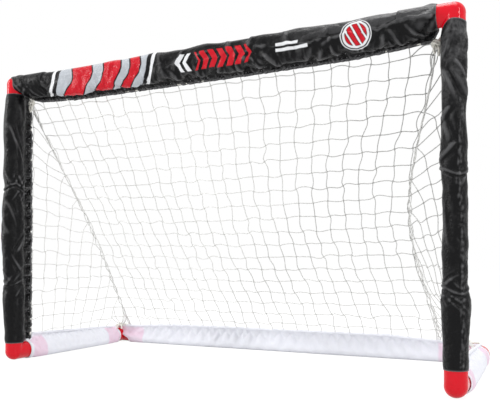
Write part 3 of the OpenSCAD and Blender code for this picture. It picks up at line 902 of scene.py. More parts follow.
def soften(points, along_times, round_times, weight):
    """Takes the small lumps out: each point moves towards the middle of its neighbours."""
    for axis, times in ((0, along_times), (1, round_times)):
        line, share = np.moveaxis(points.copy(), axis, 0), np.moveaxis(weight, axis, 0)[1:-1]
        for _ in range(times):
            line[1:-1] += 0.5 * share * ((line[:-2] + line[2:]) / 2 - line[1:-1])
        points = np.moveaxis(line, 0, axis)
    return points


def outward(points):
    """The directions that point out of the sleeve, one for each point."""
    n = np.cross(np.gradient(points, axis=0), np.gradient(points, axis=1))
    n /= np.linalg.norm(n, axis=-1, keepdims=True) + 1e-12
    top = points.shape[1] // 2
    from_hem = points[:, top] - (points[:, 0] + points[:, -1]) / 2
    return n * np.sign((n[:, top] * from_hem).sum())

# %% Folds
BEND_ASIDE = 0.12                              # how much a fold curves along its length
VALLEY_DEEP, VALLEY_BESIDE = 0.7, 1.7          # against its ridge's height and width


def fold(cut, start, angle, length, width, height):
    """Height of one sharp fold: a ridge with a valley beside it, dying away at both ends."""
    du, dv = cut[..., 0] - start[0], cut[..., 1] - start[1]
    t = du * math.cos(angle) + dv * math.sin(angle)
    d = dv * math.cos(angle) - du * math.sin(angle) + BEND_ASIDE * t * t / length
    fade = ramp(t, -0.1 * length, 0.1 * length) * ramp(t, length, 0.25 * length)
    ridge = np.exp(-(d / width) ** 2)
    valley = np.exp(-((d - VALLEY_BESIDE * width) / width) ** 2)
    return height * fade * (ridge - VALLEY_DEEP * valley)


def long_folds(cut, folds):
    """The few large folds: where each starts, its angle, its length, how wide and how high it is."""
    u, v = cut[..., 0], cut[..., 1]
    ragged = 0.25 * np.sin(u / (3.1 * MM)) + 0.25 * np.sin(v / (2.3 * MM) + u / (5.7 * MM))
    wavy = cut + 0.6 * MM * ragged[..., None]
    return sum(fold(wavy, (at * MM, over * MM), math.radians(angle), long * MM, wide * MM, high * MM)
               for at, over, angle, long, wide, high in folds)


def from_seam(cut, dice, count, seam, long, high):
    """Folds that start on the seams, that far from either edge, and run up the cloth at a slant."""
    v_end = cut[0, 0, 1]
    made = np.zeros(cut.shape[:2])
    for _ in range(count):
        start = dice.uniform(0, cut[-1, 0, 0]), dice.choice((seam, v_end - seam))
        up = 1 if start[1] < v_end / 2 else -1
        angle = math.radians(90 + dice.choice((-1, 1)) * dice.uniform(15, 65)) * up
        made += fold(cut, start, angle, dice.uniform(*long), dice.uniform(0.9, 1.8) * MM,
                     dice.uniform(*high))
    return made


def uneven(cut, dice, high):
    """Cloth is never quite round: slow swells and hollows."""
    return high * smooth_noise(dice, cut.shape[:2], (9, 6))

# %% Gathers of the hem band
GATHERS_FADE = 10 * MM
GATHER_SIZES = (0.9, 2.2)        # in cells: close gathers over wider ones
GATHER_SHARE = 0.6


def pucker(points, far, band, across, side, dice, deep):
    """Gathers the hem band to and fro, and lets the gathers die away above it."""
    at_hem, at_seam = (sum(GATHER_SHARE * smooth_noise(dice, (len(points),), (size,))[:, None]
                           for size in GATHER_SIZES) for _ in range(2))
    wave = mix(at_hem, at_seam, np.clip(far / band, 0, 1))
    fade = np.exp(-np.maximum(0, far - band) / GATHERS_FADE)
    flutes = 0.5 * side * np.abs(at_seam) * ramp(far, band, band + 4 * MM)
    return points + (deep * fade * (wave + flutes))[..., None] * across

# %% [markdown]
# ## Sewing a fallen strip
#
# The fallen strip is still open along its hem. Its cloth is creased and gathered, kept clear of the
# plastic under it, and its ends are cut to their slant. Then the strip is closed over a rolled hem,
# laid on the mesh as one closed tube, and a Solidify modifier gives it the thickness of cloth.

# %% Rolled hem
HEM_R = 2.2 * MM
ROLL_FROM, ROLL_TO, ROLL_POINTS = -150, 150, 9      # degrees round the hem's own cord
ROLL_CUT = (1.5 * MM, 11 * MM)                      # where the roll lies on the flat cut


def roll_hem(points, cut, down, across):
    """Closes the strip with a round roll along its hem. Returns the points and the cut."""
    line = (points[:, 0] + points[:, -1]) / 2
    angles = np.radians(np.linspace(ROLL_FROM, ROLL_TO, ROLL_POINTS))
    roll = (line[:, None] + HEM_R * (np.cos(angles)[None, :, None] * down
                                     + np.sin(angles)[None, :, None] * across))
    roll_v = -np.repeat(np.linspace(*ROLL_CUT, ROLL_POINTS)[None, :], len(points), 0)
    more = np.stack([np.repeat(cut[:, :1, 0], ROLL_POINTS, 1), roll_v], -1)
    wrap = np.stack([cut[:, 0, 0], roll_v[:, -1] - ROLL_CUT[0]], -1)[:, None]
    return np.concatenate([points, roll], 1), np.concatenate([cut, more, wrap], 1)

# %% Red legs that show through
def show_red(piece, offset, shown, columns):
    """Stores on each point how much a red leg shows there: it lies close, and shown says where."""
    near = 1 - ramp(np.linalg.norm(offset, axis=-1), elbow_r + 3 * MM, elbow_r + 11 * MM)
    red = np.zeros((len(offset), columns))
    red[:, :offset.shape[1]] = near * shown
    shows = piece.data.attributes.new(SHOWS_RED, "FLOAT", "POINT")
    shows.data.foreach_set("value", red.reshape(-1).astype(np.float32))

# %% Gathered, lifted and trimmed
END_CALM = 7 * MM               # no crease so close to an end
TRIM_REACH = 40 * MM            # a slanted end is drawn over this stretch


def gather(drop, place, press, dice, deep, calm):
    """Makes the fallen strip finer, presses its folds and gathers its hem band."""
    _, along, down, length = place
    points, cut, flange = drop
    points, cut = finer(points), finer(cut)
    u, v, v_end = cut[..., 0], cut[..., 1], cut[0, 0, 1]
    band = v_end - cut[0, 2 * flange, 1]
    far = np.minimum(v, v_end - v)
    side = np.where(v < v_end / 2, -1, 1)
    points = soften(points, calm, calm // 6, ramp(far, band - 4 * MM, band + 6 * MM)[..., None])
    ends = ramp(u, 0, END_CALM) * ramp(u, length, length - END_CALM)
    clear = ends * ramp(far, band, band + 5 * MM)
    points = points + outward(points) * (press(cut, dice) * clear)[..., None]
    return pucker(points, far, band, np.cross(along, down), side, dice, deep * ends), cut


def lift(points, cut, place, under):
    """Takes cloth out of the plastic. Returns the points, and their offsets from the tube's middle."""
    origin, along = place[:2]
    offset = points - origin
    offset = offset - (offset @ along)[..., None] * along
    move = offset * np.maximum(0, under(cut[..., 0]) / np.linalg.norm(offset, axis=-1) - 1)[..., None]
    return points + move, offset + move


def trim_ends(points, cut, offset, place, trim):
    """Draws both ends of the cloth to their slants."""
    _, along, _, length = place
    u = cut[..., 0]
    for shift, fade in zip(trim, (ramp(u, TRIM_REACH, 0), ramp(u, length - TRIM_REACH, length))):
        points = points + (shift(offset) * fade)[..., None] * along
    return points

# %% Sew the fallen strip
CLOTH = 0.5 * MM


def sew(name, node, finish_name, place, under, drop, dice, press, deep, trim, flat,
        legs=None, calm=0):
    """Gathers and creases the strip, closes it over its rolled hem and gives it its thickness."""
    _, along, down, _ = place
    points, cut = gather(drop, place, press, dice, deep, calm)
    points, offset = lift(points, cut, place, under)
    points = trim_ends(points, cut, offset, place, trim)
    closed, closed_cut = roll_hem(points, cut, down, np.cross(along, down))
    piece = grid_mesh(name, closed, closed_cut, CUT)
    piece.data.materials.append(FINISH[finish_name])
    if legs is not None:
        show_red(piece, offset, legs(cut[..., 0]), closed.shape[1])
    shell = piece.modifiers.new("cloth", "SOLIDIFY")
    shell.thickness = CLOTH
    shell.offset = 0
    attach(piece, "root")
    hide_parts(node)
    print("%s: %d points, flat cut %.0f x %.0f mm, ready at %.1f s" % (
        name, closed[..., 0].size, flat[0] / MM, flat[1] / MM, time.time() - clock))

# %% [markdown]
# ## The crossbar's sleeve
#
# The crossbar's cloth is drawn tight over the elbows' legs at both ends, and its hem is a little
# higher there, where the ties pull it. Its top lies flat with a ragged edge, above which it carries
# a painted top light, and folds run from its seam and along its top. It would take a very fine
# simulation to find them all, so the slack falls first and the folds are pressed in afterwards,
# each at its place.

# %% What lies under a sleeve
GAP = 0.45 * MM
PAST = 2.5 * MM          # cloth bridges the mouth of a socket by this much
TUBE_STAND = 1.6 * MM    # loose cloth stands this far off the tube on the whole
SOFT_CORNER = np.linspace(-4, 4, 5) * MM


def profile(*marks):
    """A line along the sleeve through (distance, value) marks, with soft corners."""
    at, values = zip(*marks)

    def read(s):
        return sum(np.interp(s + shift, at, values) for shift in SOFT_CORNER) / len(SOFT_CORNER)
    return read


def over_legs(length, first_mouth, last_mouth):
    """A sleeve's core: an elbow's leg at each end and the tube between."""
    leg, tube = elbow_r + GAP, tube_r + TUBE_STAND
    return profile((0, leg), (first_mouth + PAST, leg), (first_mouth + 4 * PAST, tube),
                   (last_mouth - 4 * PAST, tube), (last_mouth - PAST, leg), (length, leg))


def plastic_under(core):
    """What is truly under the cloth: the legs as they are, the tube below the loose cloth."""
    return lambda s: np.where(core(s) > elbow_r + 0.2 * MM, core(s) - 0.1 * MM, tube_r + CLOTH)

# %% Lie of the crossbar's sleeve
bar_low, bar_high = low_high("crossbar_sleeve")
bar_start, bar_length = bar_low[0], bar_high[0] - bar_low[0]
bar_mouths = (leg_reach - post_x - bar_start, post_x - leg_reach - bar_start)
bar_hem = profile((bar_start, front_hem - 15 * MM), (-post_x + 14 * MM, front_hem - 12 * MM),
                  (-post_x + 40 * MM, front_hem - 4 * MM), (-post_x + 110 * MM, front_hem),
                  (0, front_hem + MM), (post_x - 130 * MM, front_hem),
                  (post_x - 42 * MM, front_hem - 6 * MM), (post_x, front_hem - 9 * MM))
LEFT_SHORT, LEFT_SLANT = 11 * MM, 9.7 * MM
RIGHT_SHORT, RIGHT_SLANT = 2.5 * MM, 0.25


def bar_left_end(offset):
    """The left end is cut on the slant: long over the top, short below."""
    return LEFT_SHORT - LEFT_SLANT * ramp(offset[..., 2], 3 * MM, elbow_r)


def bar_right_end(offset):
    """The right end hangs a little shorter below."""
    return RIGHT_SHORT - RIGHT_SLANT * np.clip(-offset[..., 2] - elbow_r, 0, 20 * MM)


print("crossbar sleeve: %.0f mm long, the legs end at %.0f and %.0f mm" % tuple(
    v / MM for v in (bar_length, *bar_mouths)))
print("its hem: %.0f mm down the slope at the left end, %.0f mm in the middle" % tuple(
    v / MM for v in (bar_hem(bar_start), bar_hem(0))))

# %% The crossbar's sleeve falls
SEAM = 22 * MM                   # from the tube's middle to the seam of a black sleeve
clock = time.time()
first_mouth, last_mouth = bar_mouths
tight = elbow_r + GAP + 0.1 * MM
roomy = tight + 0.5 * MM
bar_place = (np.array((bar_start, front_y, crossbar_z)), RIGHTWARDS, slope, bar_length)
bar_core = over_legs(bar_length, *bar_mouths)
bar_round = profile((0, tight), (first_mouth, tight), (first_mouth + 40 * MM, roomy),
                    (last_mouth - 40 * MM, roomy), (last_mouth, tight), (bar_length, tight))
bar_loose = profile((0, 0.3), (first_mouth - 10 * MM, 0.5), (first_mouth + 10 * MM, 1),
                    (last_mouth - 10 * MM, 1), (last_mouth, 0.8), (bar_length, 0.5))
bar_drop = drape(bar_place, (14 * MM, 315 * MM - bar_start), SEAM, bar_round,
                 lambda u: bar_hem(u + bar_start), bar_core, slack=0.012, ruffle=0.045,
                 girth=1.03, seed=3, reach=3.2, loose=bar_loose)
print("crossbar sleeve fell in %.1f s" % (time.time() - clock))

# %% Folds of the crossbar's sleeve
# each: where it starts along and across the cut, its angle in degrees, its length, width and height
BAR_FOLDS = ((20, 30, 35, 50, 2.6, 1.2), (60, 16, 130, 52, 2.8, 1.5), (44, 52, -20, 46, 2.2, 1.0),
             (110, 15, 70, 40, 3.0, 0.9), (180, 15, 112, 44, 3.0, 1.1), (240, 15, 75, 40, 3.0, 1.3),
             (272, 16, 120, 44, 3.4, 2.0), (318, 15, 125, 42, 3.4, 2.2), (300, 40, 20, 40, 3.0, 1.4),
             (352, 16, 110, 34, 3.0, 1.9), (374, 15, 60, 38, 3.2, 2.1), (412, 16, 100, 42, 3.4, 2.2),
             (442, 18, 118, 44, 3.6, 2.6), (470, 16, 132, 52, 4.2, 2.8), (455, 46, 165, 60, 3.6, 2.0),
             (505, 50, 14, 50, 3.4, 2.2), (520, 16, 62, 52, 4.4, 3.2), (548, 18, 112, 46, 3.6, 2.4),
             (590, 30, 150, 46, 3.4, 1.9), (600, 17, 74, 36, 3.0, 1.7), (628, 17, 122, 48, 3.2, 2.2),
             (655, 20, 136, 50, 2.8, 1.8), (205, 62, -100, 34, 2.8, 1.7), (285, 66, -68, 42, 3.2, 2.4),
             (328, 64, -112, 38, 3.0, 2.2), (396, 66, -74, 44, 3.4, 2.5), (434, 66, -108, 46, 3.4, 2.8),
             (478, 66, -68, 46, 3.6, 3.0), (540, 66, -114, 42, 3.6, 2.8), (577, 64, -62, 38, 3.0, 2.2),
             (350, 50, 12, 44, 2.8, 1.6), (420, 38, -14, 40, 2.8, 1.6), (530, 40, 16, 46, 3.0, 1.8))
EDGE, EDGE_WANDERS, EDGE_RAGGED = 46.5, 1.6, 0.8      # the front edge of the flat top, in mm
TOP_ENDS = 72 * MM
TOP_DEEP, RIDGE_HIGH, RIDGE_WIDE = 2.2 * MM, 1.7 * MM, 1.7 * MM


def bar_press(cut, dice):
    """Folds from the seam, and the flat top: lit from above, with a ragged ridge along its edge."""
    u, v = cut[..., 0], cut[..., 1]
    wander = EDGE_WANDERS * smooth_noise(dice, (len(u),), (8,))
    edge = (EDGE + wander + EDGE_RAGGED * smooth_noise(dice, (len(u),), (2.6,)))[:, None] * MM
    flatter = mix(0.35, 1, ramp(u, 450 * MM, 520 * MM))
    flat = -TOP_DEEP * np.sin(math.pi * np.clip((v - edge) / (TOP_ENDS - edge), 0, 1))
    ridge = RIDGE_HIGH * np.exp(-((v - edge) / RIDGE_WIDE) ** 2)
    fine = from_seam(cut, dice, 110, 13 * MM, (12 * MM, 38 * MM), (0.2 * MM, 0.7 * MM))
    return fine + long_folds(cut, BAR_FOLDS) + flatter * (flat + ridge) + uneven(cut, dice, 1.1 * MM)


print("crossbar sleeve: %d long folds" % len(BAR_FOLDS))

# %% The crossbar's sleeve is sewn
BLACK_CUT = 0.14                 # once round the widest leg, two layers of band and the roll
BAR_GATHERS = 1.1 * MM
sew("crossbar_sleeve_cloth", "crossbar_sleeve", "crossbar_cloth", bar_place, plastic_under(bar_core),
    bar_drop, np.random.default_rng(103), bar_press, BAR_GATHERS, (bar_left_end, bar_right_end),
    (BLACK_CUT, bar_length))

# %% [markdown]
# ## The post sleeves
#
# Each post's cloth is tight at the top, over the foot and at two pinches where it has slipped down
# and bunched. From a pinch, folds open out in Vs, up and down. The left one bags away from its
# tube, and the right one's seam is gathered into a raised double row of knobs. A pinch could be
# simulated with a tie round the cloth, but it would take its own folds. Here each V is placed by
# chance round its pinch, from seeded dice, so that it comes out the same each time.

# %% Bags and the raised seam
BAGGY_SIDE, BAG_WIDE = 72 * MM, 15 * MM      # where the left post's cloth hangs away from the tube
KNOB_HIGH, KNOB_R = 1.25 * MM, 0.95 * MM
KNOBS_BESIDE = 1.3 * MM
SEAM_WANDERS = 1.6 * MM
SEAM_STARTS, SEAM_FULL = 70 * MM, 110 * MM   # down from the sleeve's top


def baggy(cut, bag):
    """Cloth that hangs away from the post on one side, more at some heights than at others."""
    return bag(cut[..., 0]) * np.exp(-((cut[..., 1] - BAGGY_SIDE) / BAG_WIDE) ** 2)


def raised_seam(u, v, seam_v, dice):
    """A gathered seam that stands up: two rows of small knobs that wander down the post."""
    wander = seam_v + SEAM_WANDERS * smooth_noise(dice, (len(u),), (11,))[:, None]
    made = 0
    for beside in (-KNOBS_BESIDE, KNOBS_BESIDE):
        knobs = KNOB_HIGH * (1 + 0.35 * smooth_noise(dice, (len(u),), (1.3,))[:, None])
        made = made + knobs * np.exp(-((v - wander - beside) / KNOB_R) ** 2)
    gathers = smooth_noise(dice, (len(u),), (1.6,))[:, None]
    made = made + 0.4 * MM * gathers * np.exp(-np.abs(v - wander) / (5 * MM))
    return made * ramp(u, u.max() - SEAM_STARTS, u.max() - SEAM_FULL)

# %% Pinches
PINCH_DEEP, PINCH_WIDE = 1.3 * MM, 1.6 * MM
PINCH_WANDERS, WANDER_SIZE = 4.5 * MM, 8 * MM
ROLL_HIGH, ROLL_WIDE, ROLL_ABOVE = 1.1 * MM, 2 * MM, 3 * MM       # the roll of cloth on a pinch
VS = 4                                                            # on each side of a pinch


def pinch_folds(cut, height, dice):
    """A ring drawn in at this height, a roll of cloth above it, and folds that open out in Vs."""
    u, v = cut[..., 0], cut[..., 1]
    wander = height + PINCH_WANDERS * np.sin(v / WANDER_SIZE + dice.uniform(0, 6))
    made = (-PINCH_DEEP * np.exp(-((u - wander) / PINCH_WIDE) ** 2)
            + ROLL_HIGH * np.exp(-((u - wander - ROLL_ABOVE) / ROLL_WIDE) ** 2))
    for way in (-1, 1):
        for start_v in dice.uniform(20 * MM, cut[0, 0, 1] - 20 * MM, VS):
            for arm in (-1, 1):
                straight = math.pi / 2 - way * math.pi / 2
                angle = straight + way * arm * math.radians(dice.uniform(22, 50))
                made = made + fold(cut, (height + way * 3 * MM, start_v), angle,
                                   dice.uniform(16, 46) * MM, dice.uniform(1.2, 2.4) * MM,
                                   dice.uniform(0.5, 1.3) * MM)
    return made

# %% Ends of the post sleeves
SLIPPED_UP = {LEFT: 0, RIGHT: 5 * MM}
FOOT_BACK_UP = 2 * MM
TOP_SHORT, TOP_BACK_UP = 2.5 * MM, 6 * MM
RIGHT_TOP_UP, DROOP_IN, DROOP_OUT = 7 * MM, 11 * MM, 2 * MM


def post_foot(side):
    """The right sleeve has slipped up a little at its foot."""
    return lambda offset: SLIPPED_UP[side] + FOOT_BACK_UP * ramp(offset[..., 1], 12 * MM, 20 * MM)


def post_top(side):
    """Cut a little higher at the back. The right one droops on the side of the goal."""
    def shift(offset):
        up = TOP_BACK_UP * ramp(offset[..., 1], 4 * MM, 22 * MM) - TOP_SHORT
        if side == RIGHT:
            inner = np.clip(-offset[..., 0] / elbow_r, 0, 1)
            outer = np.clip(offset[..., 0] / elbow_r, 0, 1)
            up = up + RIGHT_TOP_UP - DROOP_IN * inner ** 2 - DROOP_OUT * outer ** 2
        return up
    return shift

# %% What sets one post apart from the other
PINCHES = {LEFT: (124, 279), RIGHT: (124, 262)}          # heights above the floor, in mm
RAISED_SEAM = {LEFT: None, RIGHT: 54 * MM}
BAG = {                                                  # (height, how far it hangs away), in mm
    LEFT: ((28, 0), (60, 1), (96, 2.2), (114, 0.6), (130, 2), (150, 4.5), (200, 6.2), (255, 5.2),
           (279, 2.4), (300, 4), (380, 4), (425, 0.5), (440, 0)),
    RIGHT: ((28, 0), (150, 0.8), (230, 0.8), (300, 1.5), (360, 0.8), (440, 0)),
}
FOLDS = {                                                # as for the crossbar, from the foot up
    LEFT: ((350, 58, -160, 62, 2.4, 1.9), (330, 50, -155, 50, 2.0, 1.6), (385, 44, -170, 50, 2.6, 1.2),
           (180, 60, 20, 55, 2.6, 1.8), (150, 46, -24, 45, 2.2, 1.7), (118, 40, 35, 40, 2.2, 1.6),
           (230, 62, 205, 50, 2.4, 1.5), (108, 56, 150, 44, 2.4, 1.6), (60, 46, 4, 60, 3.4, 1.0)),
    RIGHT: ((362, 60, 215, 42, 3.2, 3.4), (352, 72, 205, 44, 2.8, 2.8), (322, 46, 30, 44, 2.8, 2.6),
            (300, 74, 200, 46, 2.8, 2.4), (268, 60, 140, 40, 2.6, 2.2), (372, 44, -20, 40, 2.8, 1.9),
            (340, 50, 205, 36, 3.0, 3.0), (310, 66, 150, 30, 2.6, 2.2), (385, 66, 160, 34, 2.6, 1.8),
            (205, 76, 186, 90, 3.6, 1.2), (150, 68, 12, 60, 3.2, 1.4), (236, 44, 150, 34, 2.2, 1.6)),
}
POST_SEEDS = {LEFT: 11, RIGHT: 23}
print("post sleeves: %d and %d long folds" % (len(FOLDS[LEFT]), len(FOLDS[RIGHT])))

# %% Folds and slack of one post
def post_press(side, start):
    """All that is pressed into one post's cloth, which starts this far above the floor."""
    pinches = [height * MM - start for height in PINCHES[side]]
    bag = profile(*[(height * MM - start, away * MM) for height, away in BAG[side]])

    def press(cut, dice):
        made = baggy(cut, bag) + uneven(cut, dice, 0.45 * MM) + long_folds(cut, FOLDS[side])
        made += from_seam(cut, dice, 70, 12 * MM, (10 * MM, 28 * MM), (0.35 * MM, 1.0 * MM))
        for height in pinches:
            made += pinch_folds(cut, height, dice)
        if RAISED_SEAM[side] is not None:
            made += raised_seam(cut[..., 0], cut[..., 1], RAISED_SEAM[side], dice)
        return made
    return press


def post_loose(side, start, length, foot_top):
    """Where the slack lies: little at the ends, most at the pinches."""
    marks = [(0, 0.3), (foot_top, 0.4)]
    for height in PINCHES[side]:
        pinch = height * MM - start
        marks += [(pinch - 45 * MM, 0.7), (pinch, 3.5), (pinch + 45 * MM, 0.7)]
    return profile(*sorted(marks), (length - 40 * MM, 0.8), (length, 0.3))

# %% The post sleeves fall and are sewn
POST_GATHERS = 1.2 * MM


def post_sleeve(side, word):
    """Lets one post's sleeve fall and sews it."""
    node = word + "_post_sleeve"
    low, high = low_high(node)
    start, length = low[2], high[2] - low[2]
    foot_top = base_z + foot_reach - start
    swell_ends = foot_reach * 0.4 - (start - base_z)
    top_mouth = crossbar_z - leg_reach - start
    leg, foot, tube = elbow_r + GAP, foot_r + GAP, elbow_r - 0.2 * MM
    core = profile((0, leg), (swell_ends, leg), (foot_top - 8 * MM, foot),
                   (foot_top + PAST, foot), (foot_top + 4 * PAST, tube),
                   (top_mouth - 4 * PAST, tube), (top_mouth - PAST, leg), (length, leg))

    def round_it(u):
        roomy = ramp(u, foot_top, foot_top + 20 * MM) * ramp(u, length - 10 * MM, length - 50 * MM)
        return core(u) + mix(0.2 * MM, 0.9 * MM, roomy)

    place = (np.array((side * post_x, front_y, start)), UPWARDS, BACKWARDS, length)
    drop = drape(place, (2 * MM, length - 3 * MM), SEAM, round_it, lambda u: front_hem + 0 * u, core,
                 slack=0.012, ruffle=0.02, girth=1.01, seed=POST_SEEDS[side], reach=2.6,
                 loose=post_loose(side, start, length, foot_top))
    sew(word + "_post_sleeve_cloth", node, "black_cloth", place, plastic_under(core), drop,
        np.random.default_rng(POST_SEEDS[side] + 100), post_press(side, start), POST_GATHERS,
        (post_foot(side), post_top(side)), (BLACK_CUT, length), calm=36)


for side, word in SIDES:
    post_sleeve(side, word)

# %% [markdown]
# ## The white sleeves
#
# The base sleeves are cut from a thin white lining cloth. Their hems run down towards the back
# corners. Where the cloth lies on the red leg of an elbow it shows pink, apart from the doubled
# hem at its very end. They fall like the black ones, with more slack and with the floor under
# them, and their folds are wide and soft because the cloth is thin.

# %% Legs, folds and ends of the white sleeves
END_HEM = 6 * MM
SLANT = 26 * MM


def legs_below(length, first, last):
    """1 where a red leg lies under the cloth, 0 over the tube and in the doubled end hems."""
    def read(u):
        over = np.maximum(ramp(u, first + 2 * MM, first - 2 * MM), ramp(u, last - 2 * MM, last + 2 * MM))
        single = ramp(u, END_HEM - MM, END_HEM + MM) * ramp(u, length - END_HEM + MM, length - END_HEM - MM)
        return over * single
    return read


def smooth_folds(cut, dice):
    """Wide soft folds from both seams, as in thin cloth."""
    return from_seam(cut, dice, 40, 8 * MM, (18 * MM, 45 * MM), (0.2 * MM, 0.6 * MM))


def level(_offset):
    """An end that is cut straight."""
    return 0.0


def back_corner(side):
    """The back sleeve's ends are cut on the slant, out over the top of the elbow."""
    return lambda offset: side * SLANT * ramp(offset[..., 2], -8 * MM, 9 * MM)

# %% How a white sleeve falls
WHITE_SEAM = 17.5 * MM
WHITE_ROUND = 14.3 * MM
WHITE_GATHERS = 0.4 * MM
WHITE_RUFFLE = 0.05


def base_sleeve(name, place, mouths, hem, hem_span, slack, girth, seed, ends, cut_width, tubes_below,
                loose=None):
    """Lets one white sleeve fall onto the floor and sews it."""
    length = place[3]
    core = over_legs(length, *mouths)
    drop = drape(place, hem_span, WHITE_SEAM, lambda u: WHITE_ROUND + 0 * u, hem, core, slack=slack,
                 ruffle=WHITE_RUFFLE, girth=girth, seed=seed, floor=CLOTH, loose=loose)
    sew(name + "_sleeve_cloth", name + "_sleeve", "white_cloth", place, plastic_under(core), drop,
        np.random.default_rng(seed + 100), smooth_folds, WHITE_GATHERS, ends, (cut_width, length),
        legs_below(length, *mouths))

# %% Side sleeves
LOW_HEM = 15.4 * MM              # the hem is pulled down to this at the back corner
side_hem = profile((-1, base_hem + 4.5 * MM), (front_y, base_hem + 4.5 * MM), (0, base_hem - MM),
                   (back_y, LOW_HEM), (1, LOW_HEM))
SIDE_SEEDS = {LEFT: 31, RIGHT: 37}
SIDE_CUT = 0.115
for side, word in SIDES:
    low, high = low_high(word + "_side_sleeve")
    start, length = low[1], high[1] - low[1]
    mouths = (front_y + leg_reach - start, back_y - leg_reach - start)
    place = (np.array((side * post_x, start, base_z)), BACKWARDS, UPWARDS, length)
    base_sleeve(word + "_side", place, mouths, lambda u: side_hem(u + start), (17 * MM, length),
                slack=0.015, girth=1.05, seed=SIDE_SEEDS[side], ends=(level, level), cut_width=SIDE_CUT,
                tubes_below=[word + "_side_tube"])

# %% Back sleeve
RIGHT_HEM = 15.6 * MM
back_hem = profile((-post_x, base_hem - 5 * MM), (-post_x + 30 * MM, base_hem), (-0.2, base_hem + 7 * MM),
                   (0.2, base_hem + 7 * MM), (post_x - 60 * MM, base_hem), (post_x - 20 * MM, RIGHT_HEM),
                   (post_x, RIGHT_HEM))
BACK_SEED = 41
BACK_CUT = 0.145
low, high = low_high("back_sleeve")
start, length = low[0], high[0] - low[0]
mouths = (leg_reach - post_x - start, post_x - leg_reach - start)
place = (np.array((start, back_y, base_z)), RIGHTWARDS, -slope, length)
base_sleeve("back", place, mouths, lambda u: back_hem(u + start), (2 * MM, length - 2 * MM),
            slack=0.02, girth=1.16, seed=BACK_SEED, ends=(back_corner(LEFT), back_corner(RIGHT)),
            cut_width=BACK_CUT, tubes_below=["back_tube_left", "back_tube_right"],
            loose=profile((0, 0.3), (60 * MM, 1), (length - 60 * MM, 1), (length, 0.3)))

# %% [markdown]
# ## The net
#
# A goal net is one knotted mesh with square holes. The back hangs from the crossbar's hem and
# slopes down to the back bar. Its rows of twine run on round a laced corner on each side, the
# crease, and forwards to the post. It could be simulated as a net of sticks too, but then its
# holes would drift from where they hang. So the knots are placed by a formula: each row is shared
# out between the two creases. What makes a net look real is that a knot never sits square. Each
# one is turned a little, and the twine leaves it at that angle and swings back.

# %% The creases
TWINE_R = 0.7 * MM
LACE_R = 1.6 * MM
MESH = 24.6 * MM
seat = 0.3 * MM + TWINE_R * math.sqrt(2)       # from a round edge to the twine that lies on it
hem_seat, lace_seat = HEM_R + seat, LACE_R + seat
net_top, net_foot = front_hem + hem_seat, slope_len - base_hem - hem_seat
TOP_INSET = {LEFT: 14 * MM, RIGHT: 25 * MM}
FOOT_INSET = {LEFT: 28 * MM, RIGHT: 60 * MM}
WAIST = {LEFT: 10 * MM, RIGHT: 38 * MM}        # how much further a crease is drawn in at mid height
side_hem_z = base_z + base_hem


def on_slope(x, s):
    """The place x across and s down the slope from the crossbar's middle."""
    return np.array((x, front_y + slope[1] * s, crossbar_z + slope[2] * s))


def down_net(s):
    """0 at the net's top edge, 1 at its foot."""
    return (s - net_top) / (net_foot - net_top)


def crease(side, s):
    """The corner of the net on one side, s down the slope."""
    v = min(1, max(0, down_net(s)))
    inset = mix(TOP_INSET[side], FOOT_INSET[side], v) + WAIST[side] * math.sin(math.pi * v) ** 1.5
    return on_slope(side * (post_x - inset), s)


print("net: %.0f mm down the slope, %.0f mm wide at its middle" % (
    (net_foot - net_top) / MM, (crease(RIGHT, slope_len / 2) - crease(LEFT, slope_len / 2))[0] / MM))

# %% Knots of the back
BACK_COLUMNS = 26
ROW_PITCH = 24 * MM
TOP_ROOM, FOOT_ROOM = 7 * MM, 8 * MM           # from the hems to the first and the last row
NET_SAG = 10 * MM
BACK_ASTRAY = 1.3 * MM * np.array((1, 0.6, 0.6))       # how far a knot lies off its place
dice = np.random.default_rng(7)
row_s = np.arange(front_hem + HEM_R + TOP_ROOM, net_foot - FOOT_ROOM, ROW_PITCH)


def back_knot(u, s):
    """One knot of the back, u across it, a little off its place."""
    v = down_net(s)
    ends = crease(LEFT, s)[0] + lace_seat, crease(RIGHT, s)[0] - lace_seat
    sag = NET_SAG * math.sin(math.pi * v) * 4 * u * (1 - u)
    return on_slope(mix(*ends, u), s) + inwards * sag + dice.normal(size=3) * BACK_ASTRAY


back_rows = [[back_knot(u, s) for u in np.linspace(0, 1, BACK_COLUMNS)] for s in row_s]
print("back net: %d rows of %d knots" % (len(back_rows), BACK_COLUMNS))

# %% Knots of the sides
SIDE_PITCH = 23.1 * MM
ROLLS_ROUND = 50                 # degrees that the net's edge rolls round the post's hem at the top
ROLL_ROWS = 16
MOST_KNOTS = 12
SIDE_ASTRAY = 1.2 * MM * np.array((0.7, 1, 1))
NEAREST_KNOT = 0.35              # of a mesh, from the crease


def side_row(side, m):
    """Knots of row m up from the floor, from the post back to the crease, and the crease itself."""
    corner_at = crease(side, row_s[len(row_s) - 1 - m])
    around = math.radians(ROLLS_ROUND) * min(1, m / ROLL_ROWS) ** 2
    post = np.array((side * (post_x - hem_seat * math.sin(around)),
                     post_hem_y + hem_seat * math.cos(around), side_hem_z + hem_seat + SIDE_PITCH * m))
    room = corner_at[1] - post[1]
    share = MESH / max(MM, room)
    inward = ramp(m, -1, 3.5)
    row = []
    for k in range(MOST_KNOTS):
        f = MESH * k / max(MM, room)
        if f > 1 - NEAREST_KNOT * share and k:
            break
        across = mix(f ** 6, f, inward)
        knot = mix(post, corner_at, np.array((across, f, f)))
        row.append(knot + (dice.normal(size=3) * SIDE_ASTRAY if k else 0))
    return (row if room >= 0.3 * MESH else []), corner_at


side_rows = {side: [side_row(side, m) for m in range(len(row_s))] for side in (LEFT, RIGHT)}
print("side nets:", [sum(len(row) for row, _ in side_rows[side]) for side in (LEFT, RIGHT)], "knots")

